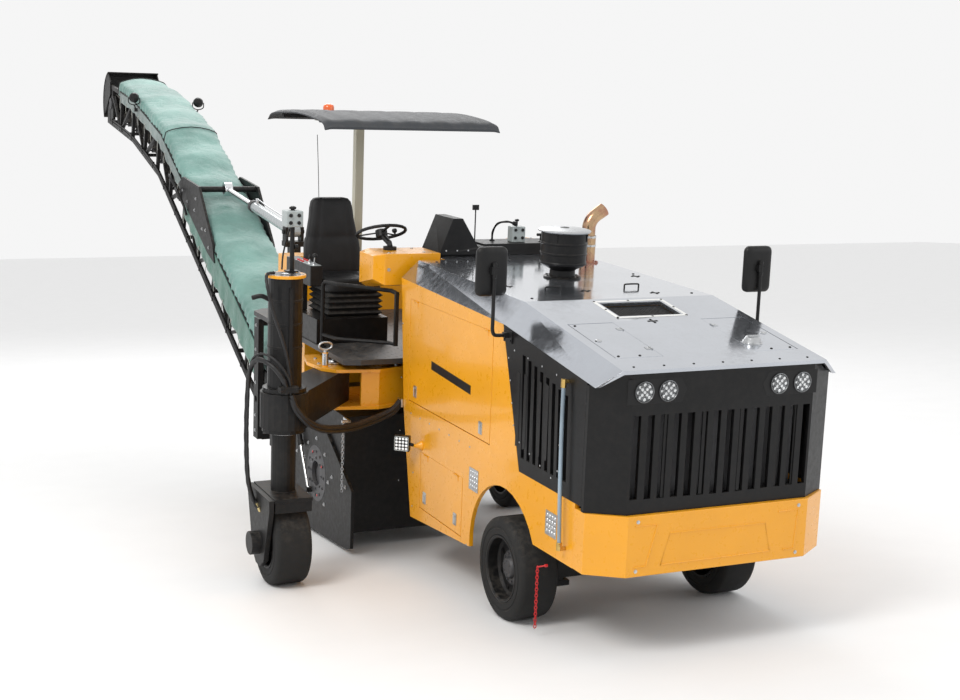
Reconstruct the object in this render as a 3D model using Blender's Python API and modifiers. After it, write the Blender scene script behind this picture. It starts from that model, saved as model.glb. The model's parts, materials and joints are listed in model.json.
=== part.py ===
"""Cold planer milling machine on four solid-tyred wheels, with a slewing discharge conveyor at its rear.

The body is modelled in its own level frame: x across (the operator's right is -x), y from the front
axle to the rear, z up. An empty then leans that frame nose down by BODY_PITCH about the front axle,
because the rear legs stand extended, and shifts it so that the origin is under the middle of the box.
"""
import math

import bmesh
import bpy
from mathutils import Matrix, Vector

# ---------------------------------------------------------------- driving dimensions (metres)
BODY_PITCH = math.radians(5.5)     # nose-down lean of the body on level ground
ORIGIN_X, ORIGIN_Y = -0.506, 5.082  # body-frame axle centre to the middle of the standing machine
GAP = 0.0003                       # between pieces that rest on each other
BEARING = 0.0006                   # between a turning or sliding piece and what carries it

FRONT_TYRE_R = 0.33
REAR_TYRE_R = 0.305
TYRE_W = 0.256
FRONT_TRACK = 0.746                # wheel centre from the middle
KINGPIN_X = 0.575

BODY_HALF = 0.833                  # outer face of the side panels
PANEL_T = 0.030
BODY_REAR = 1.872
CREASE_Z = 1.000                   # top of the lower band, under the side grille
ARCH_Y, ARCH_Z, ARCH_R = 0.07, 0.35, 0.49
HOOD_TOP_HALF = 0.700
HOOD_T = 0.022
HOOD_FRONT, HOOD_TIP, HOOD_BREAK = -1.090, -1.020, 0.149
RIM_Z = {HOOD_TIP: 1.713, HOOD_BREAK: 1.873, BODY_REAR: 1.928}
TOP_Z = {HOOD_FRONT: 1.816, HOOD_BREAK: 2.016, BODY_REAR: 2.052}
COWL_REAR = 2.45                   # rear edge of the hood's middle part

BUMPER_FRONT, BUMPER_SIDE, BUMPER_HALF = -1.115, -0.974, 0.625
BUMPER_LOW, BUMPER_TOP = 0.605, 0.970

RAIL_X, RAIL_W = 0.40, 0.10
RAIL_LOW, RAIL_TOP = 0.820, 0.980
FRAME_REAR = 4.28
DECK_TOP, DECK_T = 1.330, 0.040
DECK_RIGHT, DECK_LEFT = -1.25, 0.98

DRUM_Y, DRUM_Z, DRUM_R = 2.82, 0.215, 0.45
DRUM_RIGHT, DRUM_LEFT = -1.055, -0.095
HOUSING_FRONT, HOUSING_REAR, HOUSING_RIGHT = 2.25, 3.42, -1.105
BRACKET_X = -0.62                  # where the swing bracket is bolted to the frame

SWING_X, SWING_Y = -1.22, 2.20     # pin of the right rear leg's swing arm
LEG_RIGHT_X, LEG_RIGHT_Y = -1.83, 1.50
LEG_LEFT_X, LEG_LEFT_Y = 0.80, 3.20
ARM_LOW, ARM_TOP = 0.975, 1.225    # room between the two yellow bracket plates
SLEEVE_R, LEG_TUBE_R = 0.1175, 0.085
SLEEVE_TOP = 2.03

CONV_X, CONV_HALF = -0.70, 0.30    # conveyor's middle, and its half width over the trusses
SLEW_Y = 4.60
TAIL_SWEEP = 0.445                 # radius that the conveyor's tail needs about the slew pins
LIFT_Y, LIFT_Z = 4.61, 0.45
CHORD = [(4.52, 0.18), (8.75, 2.11), (10.05, 2.41), (11.50, 2.575)]  # lower chord's line
TRUSS_D = 0.50
TAIL_LIFT, HEAD_LIFT = TRUSS_D / 2, TRUSS_D / 2 + 0.02    # belt drums over the lower chord
CROSSBAR_Y, CROSSBAR_Z = 6.97, 2.12
CYL_Y, CYL_Z = 4.80, 1.93          # barrel's pivot on the mast


# ---------------------------------------------------------------- scene, collections, materials
for old in list(bpy.data.objects):
    bpy.data.objects.remove(old, do_unlink=True)

PARTS = bpy.data.collections.new("cold_planer")
CUTTERS = bpy.data.collections.new("cutters")
for made in (PARTS, CUTTERS):
    bpy.context.scene.collection.children.link(made)

MACHINE = bpy.data.objects.new("machine_frame", None)
MACHINE.rotation_euler = (BODY_PITCH, 0, 0)
# the lean turns about the front axle, which stays at its tyre's radius above the ground
lean = Matrix.Rotation(BODY_PITCH, 3, "X") @ Vector((0, 0, FRONT_TYRE_R))
MACHINE.location = (-ORIGIN_X, -ORIGIN_Y - lean.y, FRONT_TYRE_R - lean.z)
PARTS.objects.link(MACHINE)


def ground_z(y):
    """Body-frame height of the ground under body-frame y."""
    return FRONT_TYRE_R - (FRONT_TYRE_R + y * math.sin(BODY_PITCH)) / math.cos(BODY_PITCH)


def standing_z(y, radius):
    """Body-frame height of a wheel's centre whose tyre touches the ground."""
    return ground_z(y) + radius / math.cos(BODY_PITCH)


COLOURS = {  # name: (colour, roughness, metallic)
    "yellow": ((0.86, 0.42, 0.02), 0.35, 0.0),
    "black": ((0.02, 0.02, 0.022), 0.45, 0.0),
    "hood_grey": ((0.42, 0.44, 0.48), 0.22, 0.7),
    "rubber": ((0.03, 0.03, 0.03), 0.85, 0.0),
    "dark_steel": ((0.09, 0.09, 0.095), 0.5, 0.6),
    "bright_steel": ((0.72, 0.73, 0.75), 0.25, 1.0),
    "copper": ((0.45, 0.26, 0.16), 0.3, 1.0),
    "tarp": ((0.36, 0.62, 0.55), 0.7, 0.0),
    "canopy_grey": ((0.09, 0.10, 0.11), 0.6, 0.0),
    "deck": ((0.07, 0.07, 0.07), 0.8, 0.0),
    "vinyl": ((0.025, 0.025, 0.027), 0.6, 0.0),
    "plastic": ((0.03, 0.03, 0.03), 0.5, 0.0),
}


def material(name):
    colour, rough, metal = COLOURS[name]
    made = bpy.data.materials.new(name)
    made.use_nodes = True
    shader = made.node_tree.nodes["Principled BSDF"]
    shader.inputs["Base Color"].default_value = (*colour, 1.0)
    shader.inputs["Roughness"].default_value = rough
    shader.inputs["Metallic"].default_value = metal
    return made


# ---------------------------------------------------------------- shape helpers
def stand(obj, collection=PARTS, parent=MACHINE):
    collection.objects.link(obj)
    obj.parent = parent
    return obj


def box(low, high):
    """A block between two corners."""
    low, high = Vector(low), Vector(high)
    mesh = bpy.data.meshes.new("box")
    shape = bmesh.new()
    bmesh.ops.create_cube(shape, size=1.0, matrix=Matrix.Diagonal((*(high - low), 1.0)))
    shape.to_mesh(mesh)
    shape.free()
    obj = bpy.data.objects.new("box", mesh)
    obj.location = (low + high) / 2
    return stand(obj)


def rod(start, end, radius, sides=16, end_radius=None):
    """A cylinder, or a cone where end_radius is given, between two points."""
    start, end = Vector(start), Vector(end)
    mesh = bpy.data.meshes.new("rod")
    shape = bmesh.new()
    bmesh.ops.create_cone(shape, cap_ends=True, segments=sides, radius1=radius,
                          radius2=radius if end_radius is None else end_radius,
                          depth=(end - start).length)
    shape.to_mesh(mesh)
    shape.free()
    mesh.shade_smooth()
    mesh.set_sharp_from_angle(angle=math.radians(40))
    obj = bpy.data.objects.new("rod", mesh)
    obj.location = (start + end) / 2
    obj.rotation_mode = "QUATERNION"
    obj.rotation_quaternion = (end - start).to_track_quat("Z", "Y")
    return stand(obj)


def beam(start, end, wide, tall):
    """A square bar between two points; tall is measured in the vertical plane."""
    start, end = Vector(start), Vector(end)
    mesh = bpy.data.meshes.new("beam")
    shape = bmesh.new()
    bmesh.ops.create_cube(shape, size=1.0, matrix=Matrix.Diagonal((wide, tall, (end - start).length, 1.0)))
    shape.to_mesh(mesh)
    shape.free()
    obj = bpy.data.objects.new("beam", mesh)
    obj.location = (start + end) / 2
    obj.rotation_mode = "QUATERNION"
    obj.rotation_quaternion = (end - start).to_track_quat("Z", "Y")
    return stand(obj)


def solid_from_curve(curve_obj):
    """A closed mesh object in place of a curve object."""
    bpy.context.view_layer.update()
    evaluated = curve_obj.evaluated_get(bpy.context.evaluated_depsgraph_get())
    mesh = bpy.data.meshes.new_from_object(evaluated)
    shape = bmesh.new()
    shape.from_mesh(mesh)
    bmesh.ops.remove_doubles(shape, verts=shape.verts, dist=0.00002)
    shape.to_mesh(mesh)
    shape.free()
    obj = bpy.data.objects.new("plate", mesh)
    obj.parent = curve_obj.parent
    obj.location = curve_obj.location
    obj.rotation_euler = curve_obj.rotation_euler
    PARTS.objects.link(obj)
    bpy.data.objects.remove(curve_obj, do_unlink=True)
    return obj


FACING = {  # plate's plane: (rotation, how its third coordinate is placed)
    "XY": ((0, 0, 0), lambda level: (0, 0, level)),
    "YZ": ((math.pi / 2, 0, math.pi / 2), lambda level: (level, 0, 0)),
    "XZ": ((math.pi / 2, 0, 0), lambda level: (0, level, 0)),
}


def plate(plane, outlines, near, far):
    """A flat plate of one outline, and of holes after the first, between two levels of its normal."""
    curve = bpy.data.curves.new("plate", "CURVE")
    curve.dimensions = "2D"
    curve.fill_mode = "BOTH"
    curve.extrude = abs(far - near) / 2
    for outline in outlines:
        spline = curve.splines.new("POLY")
        spline.points.add(len(outline) - 1)
        for point, (u, v) in zip(spline.points, outline):
            point.co = (u, v, 0, 1)
        spline.use_cyclic_u = True
    obj = bpy.data.objects.new("plate", curve)
    rotation, place = FACING[plane]
    obj.rotation_euler = rotation
    obj.location = place((near + far) / 2)
    return solid_from_curve(stand(obj))


def tube(points, radius, resolution=2):
    """A round bar or hose along a line of points."""
    curve = bpy.data.curves.new("tube", "CURVE")
    curve.dimensions = "3D"
    curve.bevel_depth = radius
    curve.bevel_resolution = resolution
    curve.use_fill_caps = True
    spline = curve.splines.new("POLY")
    spline.points.add(len(points) - 1)
    for point, place in zip(spline.points, points):
        point.co = (*place, 1)
    return stand(bpy.data.objects.new("tube", curve))


def turned(centre, axis, profile, steps=24, first=None):
    """A turned piece: profile of (radius, height), from its top to its bottom, about axis.

    first is the direction in which the profile itself stands, where that matters.
    """
    mesh = bpy.data.meshes.new("turned")
    mesh.from_pydata([(radius, 0, height) for radius, height in profile],
                     [(k, k + 1) for k in range(len(profile) - 1)], [])
    obj = bpy.data.objects.new("turned", mesh)
    obj.location = centre
    obj.rotation_mode = "QUATERNION"
    obj.rotation_quaternion = Vector(axis).to_track_quat("Z", "Y")
    if first is not None:
        up = Vector(axis).normalized()
        obj.rotation_quaternion = Matrix((first, up.cross(first), up)).transposed().to_quaternion()
    screw = obj.modifiers.new("turn", "SCREW")
    screw.steps = screw.render_steps = steps
    screw.use_merge_vertices = True
    screw.merge_threshold = 0.00005
    return stand(obj)


def loft(sections):
    """A closed body through like polygons, with flat ends."""
    mesh = bpy.data.meshes.new("loft")
    shape = bmesh.new()
    rings = [[shape.verts.new(point) for point in section] for section in sections]
    for first, second in zip(rings, rings[1:]):
        for k in range(len(first)):
            n = (k + 1) % len(first)
            shape.faces.new((first[k], first[n], second[n], second[k]))
    shape.faces.new(rings[0])
    shape.faces.new(rings[-1])
    bmesh.ops.recalc_face_normals(shape, faces=shape.faces)
    shape.to_mesh(mesh)
    shape.free()
    return stand(bpy.data.objects.new("loft", mesh))


def combine(operation, target, others):
    for other in others:
        step = target.modifiers.new(operation.lower(), "BOOLEAN")
        step.operation = operation
        step.solver = "EXACT"
        step.object = other
        PARTS.objects.unlink(other)
        CUTTERS.objects.link(other)
        other.hide_render = True
        other.display_type = "WIRE"
    return target


def fuse(target, *others):
    return combine("UNION", target, others)


def cut(target, *others):
    return combine("DIFFERENCE", target, others)


def name(obj, node, slot):
    """Give a finished piece its node name and its own material."""
    obj.name = node
    obj.data.name = node
    made = material(slot)
    made.name = node + "_" + slot
    obj.data.materials.clear()
    obj.data.materials.append(made)
    return obj


def arc(centre, radius, start, end, count):
    """Points of an arc in a plane, angles in degrees."""
    turn = [math.radians(start + (end - start) * k / (count - 1)) for k in range(count)]
    return [(centre[0] + radius * math.cos(a), centre[1] + radius * math.sin(a)) for a in turn]


def along(table, y):
    """Height read from a table of y: z, straight between its entries and past its ends."""
    keys = sorted(table)
    for low, high in zip(keys, keys[1:]):
        if y <= high or high == keys[-1]:
            return table[low] + (table[high] - table[low]) * (y - low) / (high - low)


def rim_z(y):
    return along(RIM_Z, y)


def top_z(y):
    return along(TOP_Z, y)


def offset(line, distance):
    """A line of (y, z) moved sideways, with mitred corners; positive is upwards."""
    moved = []
    for k, point in enumerate(line):
        before = Vector(line[k]) - Vector(line[k - 1]) if k else Vector(line[1]) - Vector(line[0])
        after = Vector(line[k + 1]) - Vector(point) if k + 1 < len(line) else before
        left = [Vector((-d.y, d.x)).normalized() for d in (before, after)]
        middle = (left[0] + left[1]).normalized()
        moved.append(tuple(Vector(point) + middle * distance / middle.dot(left[0])))
    return moved


def station(line, distance):
    """The point at a distance along a line of (y, z)."""
    for start, end in zip(line, line[1:]):
        span = (Vector(end) - Vector(start)).length
        if distance <= span or end == line[-1]:
            return tuple(Vector(start).lerp(Vector(end), distance / span))
        distance -= span


def length(line):
    return sum((Vector(b) - Vector(a)).length for a, b in zip(line, line[1:]))


# ---------------------------------------------------------------- chassis
def tail_recess():
    """Cutter for the room in which the conveyor's tail slews."""
    return rod((CONV_X, SLEW_Y, 0.148), (CONV_X, SLEW_Y, 1.10), TAIL_SWEEP, 32)


def chassis():
    frame = box((-RAIL_X - RAIL_W / 2, -1.05, RAIL_LOW), (-RAIL_X + RAIL_W / 2, FRAME_REAR, RAIL_TOP))
    left = box((RAIL_X - RAIL_W / 2, -1.05, RAIL_LOW), (RAIL_X + RAIL_W / 2, FRAME_REAR, RAIL_TOP))
    inner = BODY_HALF - PANEL_T - GAP
    cross = [box((-inner, y, RAIL_LOW + 0.01), (inner, y + 0.10, RAIL_TOP - 0.01))
             for y in (-0.80, 0.55, 1.62)]
    nose = box((-0.60, BUMPER_FRONT + 0.045 + GAP, 0.62), (0.60, -1.02, RAIL_TOP - 0.012))
    axle_seat = box((-0.42, -0.14, RAIL_LOW - 0.06), (0.42, 0.14, RAIL_LOW + 0.02))
    firewall = box((-0.60, 1.80, RAIL_LOW + 0.03), (0.78, 1.84, 1.86))
    deck_legs = [box((-0.43, y, 0.90), (0.43, y + 0.05, DECK_TOP - DECK_T - GAP)) for y in (2.60, 3.40)]
    side_arms = [box((BRACKET_X + GAP, 2.02, 0.90), (-0.40, 2.60, 1.00)),
                 box((0.40, LEG_LEFT_Y - 0.16, 0.84), (LEG_LEFT_X + 0.02, LEG_LEFT_Y + 0.16, 0.96))]
    rear_plate = box((-1.06, FRAME_REAR - 0.04, 0.10), (0.70, FRAME_REAR, DECK_TOP - DECK_T - GAP))
    lugs = [box((CONV_X - 0.05, FRAME_REAR - 0.02, z), (CONV_X + 0.05, SLEW_Y + 0.045, z + 0.05))
            for z in (0.02, 1.20)]
    pins = [rod((CONV_X, SLEW_Y, z), (CONV_X, SLEW_Y, z + 0.09), 0.035) for z in (0.04, 1.12)]
    foot = box((CONV_X - 0.09, FRAME_REAR - 0.03, 0.03), (CONV_X + 0.09, FRAME_REAR + 0.02, 0.14))
    fuse(frame, left, *cross, nose, axle_seat, firewall, *deck_legs, *side_arms, rear_plate, foot, *lugs,
         *pins)
    cut(frame, rod((LEG_LEFT_X, LEG_LEFT_Y, 0.7), (LEG_LEFT_X, LEG_LEFT_Y, 1.1), SLEEVE_R + 0.0012, 24),
        tail_recess())
    name(frame, "chassis_frame", "black")


def engine():
    block = box((-0.37, -0.55, RAIL_TOP + GAP), (0.37, 1.25, 1.66))
    core = box((-0.56, -0.99, 1.01), (0.56, -0.90, 1.70))
    shroud = box((-0.25, -0.92, 1.15), (0.25, -0.50, 1.55))
    name(fuse(block, core, shroud), "engine_block", "dark_steel")


def front_axle():
    axle = box((-0.50, -0.08, 0.25), (0.50, 0.08, 0.41))
    seat = box((-0.12, -0.11, 0.40), (0.12, 0.11, RAIL_LOW - 0.06 - GAP))
    fuse(axle, seat)
    for side in (-1, 1):
        x = side * KINGPIN_X
        fuse(axle,
             box((min(x, side * 0.45) - 0.055, -0.055, 0.44), (max(x, side * 0.45) + 0.055, 0.055, 0.475)),
             box((min(x, side * 0.45) - 0.055, -0.055, 0.185), (max(x, side * 0.45) + 0.055, 0.055, 0.22)),
             box((side * 0.47 - 0.03, -0.05, 0.20), (side * 0.47 + 0.03, 0.05, 0.46)))
    name(axle, "front_axle", "black")


WHEEL_STEPS = 28


def wheel(node, centre, radius, outward):
    """A solid tyre on its dished rim; outward is +1 or -1 along x. One facet lies flat on the ground."""
    half = TYRE_W / 2
    rim = radius - 0.115
    half_step = math.pi / WHEEL_STEPS
    radius = radius / math.cos(half_step)
    first = Matrix.Rotation(-BODY_PITCH + half_step, 3, "X") @ Vector((0, 0, -1))
    profile = [(0, 0.04), (0.085, 0.04), (0.09, 0.025), (rim - 0.02, 0.025), (rim, half),
               (radius - 0.022, half), (radius, half - 0.02), (radius, -half + 0.02),
               (radius - 0.022, -half), (rim, -half), (rim - 0.015, -0.01), (0, -0.01)]
    return name(turned(centre, (outward, 0, 0), profile, WHEEL_STEPS, first), node, "rubber")


def front_corner(side, word):
    x = side * KINGPIN_X
    pivot = turned((x, 0, FRONT_TYRE_R), (0, 0, 1),
                   [(0, 0.1094), (0.05, 0.1094), (0.05, -0.1094), (0, -0.1094)], 16)
    spindle = rod((x, 0, FRONT_TYRE_R), (side * (FRONT_TRACK - 0.010 - BEARING), 0, FRONT_TYRE_R), 0.06)
    name(fuse(pivot, spindle), "steering_knuckle_" + word, "dark_steel")
    wheel("front_wheel_" + word, (side * FRONT_TRACK, 0, FRONT_TYRE_R), FRONT_TYRE_R, side)


# ---------------------------------------------------------------- body panels
DOOR = (0.31, 1.68, 1.065, 1.80)          # engine door: y from, y to, z from, z to
SERVICE = (0.70, 1.42, 0.33, 0.735)       # lower service door
DOOR_GAP = 0.006


def rectangle(y0, y1, z0, z1):
    return [(y0, z0), (y1, z0), (y1, z1), (y0, z1)]


def side_panel(side, word):
    outer, inner = side * BODY_HALF, side * (BODY_HALF - PANEL_T)
    wheel_arch = arc((ARCH_Y, ARCH_Z), ARCH_R, -6, 150.0, 15)
    outline = [(-0.855 + GAP, CREASE_Z - 0.003), (-0.124, CREASE_Z - 0.003),
               (0.174, rim_z(0.174) - GAP), (BODY_REAR, rim_z(BODY_REAR) - GAP),
               (1.77, CREASE_Z), (1.583, 0.21)] + wheel_arch + [(-0.855 + GAP, BUMPER_LOW)]
    # the doors hang from their top edges, where the gap is a hinge's
    holes = [rectangle(y0 - DOOR_GAP, y1 + DOOR_GAP, z0 - DOOR_GAP, z1 + BEARING)
             for y0, y1, z0, z1 in (DOOR, SERVICE)]
    panel = plate("YZ", [outline] + holes, inner, outer)
    name(panel, "side_panel_" + word, "yellow")
    for kind, size in (("engine_door_", DOOR), ("service_door_", SERVICE)):
        name(plate("YZ", [rectangle(*size)], inner, outer), kind + word, "yellow")


def side_grille(side, word):
    outer, inner = side * BODY_HALF, side * (BODY_HALF - PANEL_T)
    front = -0.925
    outline = [(front, CREASE_Z - 0.003 + GAP), (-0.127, CREASE_Z - 0.003 + GAP),
               (0.171, rim_z(0.171) - GAP), (front, rim_z(front) - GAP)]
    slots = []
    for k in range(8):
        y = -0.73 + 0.078 * k
        lean_in = 0.012 * k / 7
        high = 1.60 + 0.13 * k / 7
        slots.append([(y, 1.09), (y + 0.040, 1.09), (y + 0.060 + lean_in, high),
                      (y + 0.020 + lean_in, high)])
    name(plate("YZ", [outline] + slots, inner, outer), "side_grille_" + word, "black")


def faceted(front, side_y, half, back, thickness):
    """Plan outline of a U with two facets: the bumper's and the grille's."""
    outer = [(-BODY_HALF, back), (-BODY_HALF, side_y), (-half, front),
             (half, front), (BODY_HALF, side_y), (BODY_HALF, back)]
    t = thickness
    inner = [(BODY_HALF - t, back), (BODY_HALF - t, side_y + t * 0.7), (half - t * 0.4, front + t),
             (-half + t * 0.4, front + t), (-BODY_HALF + t, side_y + t * 0.7), (-BODY_HALF + t, back)]
    return outer + inner


def bumper():
    shell = plate("XY", [faceted(BUMPER_FRONT, BUMPER_SIDE, BUMPER_HALF, -0.855, 0.045)], BUMPER_LOW,
                  BUMPER_TOP)
    name(shell, "front_bumper", "yellow")


def radiator_grille():
    front = -1.085
    shell = plate("XY", [faceted(front, -0.955, BUMPER_HALF, -0.925 - GAP, 0.030)], BUMPER_TOP + GAP, 1.85)
    under_hood = top_z(front) - HOOD_T - GAP
    silhouette = plate("XZ",
                       [[(-0.85, 0.95), (0.85, 0.95), (0.85, 1.7125), (0.805, 1.7125), (0.69, under_hood),
                         (-0.69, under_hood), (-0.805, 1.7125), (-0.85, 1.7125)]], -1.3, -0.7)
    combine("INTERSECT", shell, [silhouette])
    slots = []
    for k in range(14):
        x = -0.585 + 0.09 * k
        slots.append(box((x - 0.024, front - 0.05, 1.05 + 0.01 * abs(k - 6.5) / 6.5),
                         (x + 0.024, front + 0.06, 1.55)))
    name(cut(shell, *slots), "radiator_grille", "black")


HOOD_LID = (-0.63, -0.32, -0.89, -0.30)    # right lid: x from, x to, y from, y to


def hood_section(y_rim, y_top):
    low, high, t = rim_z(y_rim), top_z(y_top), HOOD_T
    ring = [(-BODY_HALF, y_rim, low), (-HOOD_TOP_HALF, y_top, high), (HOOD_TOP_HALF, y_top, high),
            (BODY_HALF, y_rim, low), (BODY_HALF - 0.028, y_rim, low),
            (HOOD_TOP_HALF - 0.010, y_top, high - t), (-HOOD_TOP_HALF + 0.010, y_top, high - t),
            (-BODY_HALF + 0.028, y_rim, low)]
    return ring


def lid_body(x0, x1, y0, y1, lift, drop):
    """A slab that follows the hood's front slope."""
    top = [(x, y, top_z(y) + lift) for x, y in ((x0, y0), (x1, y0))]
    sections = [[top[0], top[1], (x1, y0, top_z(y0) - drop), (x0, y0, top_z(y0) - drop)],
                [(x0, y1, top_z(y1) + lift), (x1, y1, top_z(y1) + lift),
                 (x1, y1, top_z(y1) - drop), (x0, y1, top_z(y1) - drop)]]
    return loft(sections)


def hood():
    shell = loft([hood_section(HOOD_TIP, HOOD_FRONT), hood_section(HOOD_BREAK, HOOD_BREAK),
                  hood_section(BODY_REAR, BODY_REAR)])
    skin = 0.001
    rear = loft([[(-0.489, y, top_z(y) - skin), (0.69, y, top_z(y) - skin),
                  (0.69, y, top_z(y) - HOOD_T + skin), (-0.489, y, top_z(y) - HOOD_T + skin)]
                 for y in (BODY_REAR - 0.02, COWL_REAR)])
    fuse(shell, rear)
    x0, x1, y0, y1 = HOOD_LID
    g = 0.005
    for side, word in ((1, "right"), (-1, "left")):
        ends = sorted((side * x0, side * x1))
        # the lid turns on its inner edge, where the gap is a hinge's
        hole = (ends[0] - g, ends[1] + BEARING) if side > 0 else (ends[0] - BEARING, ends[1] + g)
        cut(shell, lid_body(hole[0], hole[1], y0 - g, y1 + g, 0.05, 0.06))
        name(lid_body(ends[0], ends[1], y0, y1, 0.0, HOOD_T), "hood_lid_" + word, "hood_grey")
    mesh_opening = lid_body(-0.21, 0.24, -0.19, 0.07, 0.05, 0.06)
    name(cut(shell, mesh_opening), "engine_hood", "hood_grey")


def cowl():
    """Yellow box under the hood's rear part, with the steering console on its right."""
    y = COWL_REAR - 0.012
    walls = box((-0.49, BODY_REAR + 0.004, DECK_TOP + GAP), (0.69, y, top_z(BODY_REAR) - HOOD_T - GAP))
    room = box((-0.465, BODY_REAR - 0.05, DECK_TOP + 0.03), (0.665, y - 0.025, 1.99))
    name(cut(walls, room), "rear_cowl", "yellow")
    console = loft([[(-1.00, 2.02, 1.90), (-1.00, 2.02, 2.07), (-1.00, 2.30, 2.07), (-1.00, 2.30, 1.84)],
                    [(-0.93, 1.96, 1.86), (-0.93, 1.96, 2.09), (-0.93, 2.32, 2.09), (-0.93, 2.32, 1.80)],
                    [(-0.49 - GAP, 1.96, 1.86), (-0.49 - GAP, 1.96, 2.09),
                     (-0.49 - GAP, 2.32, 2.09), (-0.49 - GAP, 2.32, 1.80)]])
    name(console, "steering_console", "yellow")


def hood_fittings():
    x, y = 0.01, 0.99
    foot = top_z(y)
    slope = math.atan2(top_z(BODY_REAR) - top_z(HOOD_BREAK), BODY_REAR - HOOD_BREAK)
    up = Vector((0, -math.sin(slope), math.cos(slope)))
    centre = Vector((x, y, foot)) + up * GAP
    profile = [(0, 0.355), (0.165, 0.345), (0.185, 0.330), (0.165, 0.318),
               (0.165, 0.095), (0.10, 0.06), (0.09, 0.012),
               (0.13, 0.012), (0.13, 0), (0, 0)]
    name(turned(centre, up, profile, 20), "air_cleaner", "black")
    base = Vector((0.555, 1.62, top_z(1.62))) + up * GAP
    flange = rod(base, base + up * 0.012, 0.085, 20)
    stack = rod(base + up * 0.006, base + up * 0.215, 0.058, 20)
    bend = []
    start = base + up * 0.205
    for k in range(9):
        a = math.radians(52) * k / 8
        out = 0.13 * (1 - math.cos(a)) * 1.25
        bend.append(tuple(start + up * (0.05 + 0.13 * math.sin(a)) + Vector((out, 0, 0))))
    bend.insert(0, tuple(start))
    last, previous = Vector(bend[-1]), Vector(bend[-2])
    bend.append(tuple(last + (last - previous).normalized() * 0.07))
    name(fuse(flange, stack, solid_from_curve(tube(bend, 0.052, 3))), "exhaust_pipe", "copper")


def mirror(side, word, y):
    """A rear-view mirror on a bent arm, held on the hood's side."""
    z = rim_z(y) - 0.045
    wall = side * (BODY_HALF + GAP)
    bracket = box((min(wall, wall + side * 0.04), y - 0.07, z - 0.05),
                  (max(wall, wall + side * 0.04), y + 0.05, z + 0.03))
    x = side * (BODY_HALF + 0.12)
    arm = tube([(wall + side * 0.02, y - 0.01, z), (x - side * 0.03, y - 0.02, z),
                (x - side * 0.008, y - 0.02, z + 0.012), (x, y - 0.02, z + 0.05), (x, y - 0.02, z + 0.46)],
               0.0125, 2)
    plate_low, plate_high = z + 0.24, z + 0.55
    glass_outline = [(x - 0.105, plate_low + 0.04), (x - 0.075, plate_low), (x + 0.075, plate_low),
                     (x + 0.105, plate_low + 0.04), (x + 0.105, plate_high - 0.04), (x + 0.075, plate_high),
                     (x - 0.075, plate_high), (x - 0.105, plate_high - 0.04)]
    head = plate("XZ", [glass_outline], y - 0.005, y + 0.045)
    boss = box((x - 0.025, y - 0.035, z + 0.38), (x + 0.025, y + 0.02, z + 0.43))
    name(fuse(bracket, solid_from_curve(arm), head, boss), "mirror_" + word, "plastic")


# ---------------------------------------------------------------- operator's place
def platform():
    outline = [(DECK_RIGHT, 1.92), (DECK_RIGHT + 0.12, 1.878), (DECK_LEFT, 1.878),
               (DECK_LEFT, FRAME_REAR - 0.02), (DECK_RIGHT + 0.10, FRAME_REAR - 0.02),
               (DECK_RIGHT, FRAME_REAR - 0.12)]
    leg_hole = arc((LEG_LEFT_X, LEG_LEFT_Y), SLEEVE_R + 0.0010, 0, 345, 24)
    name(plate("XY", [outline, leg_hole], DECK_TOP - DECK_T, DECK_TOP), "platform_deck", "deck")
    wall_low, wall_top = DECK_TOP + GAP, 1.815
    back = box((-1.02, FRAME_REAR - 0.30, wall_low), (0.60, FRAME_REAR - 0.06, wall_top))
    name(cut(back,
             box((-0.99, FRAME_REAR - 0.27, wall_low - 0.05), (0.57, FRAME_REAR - 0.09, wall_top - 0.03))),
         "rear_cabinet", "yellow")
    tank = box((0.47, 1.90, 0.38), (BODY_HALF, 2.86, DECK_TOP - DECK_T - GAP))
    tie = box((RAIL_X + RAIL_W / 2 + GAP, 2.10, RAIL_LOW + 0.03), (0.50, 2.60, RAIL_TOP - 0.03))
    name(fuse(tank, tie), "left_tank", "yellow")
    low = box((-1.02, HOUSING_REAR + 0.06, 0.62), (RAIL_X * -1 - RAIL_W / 2 - GAP, FRAME_REAR - 0.04 - GAP,
                                                   DECK_TOP - DECK_T - GAP))
    name(cut(low, tail_recess()), "rear_box_right", "yellow")


SEAT_X = -0.90


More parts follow.
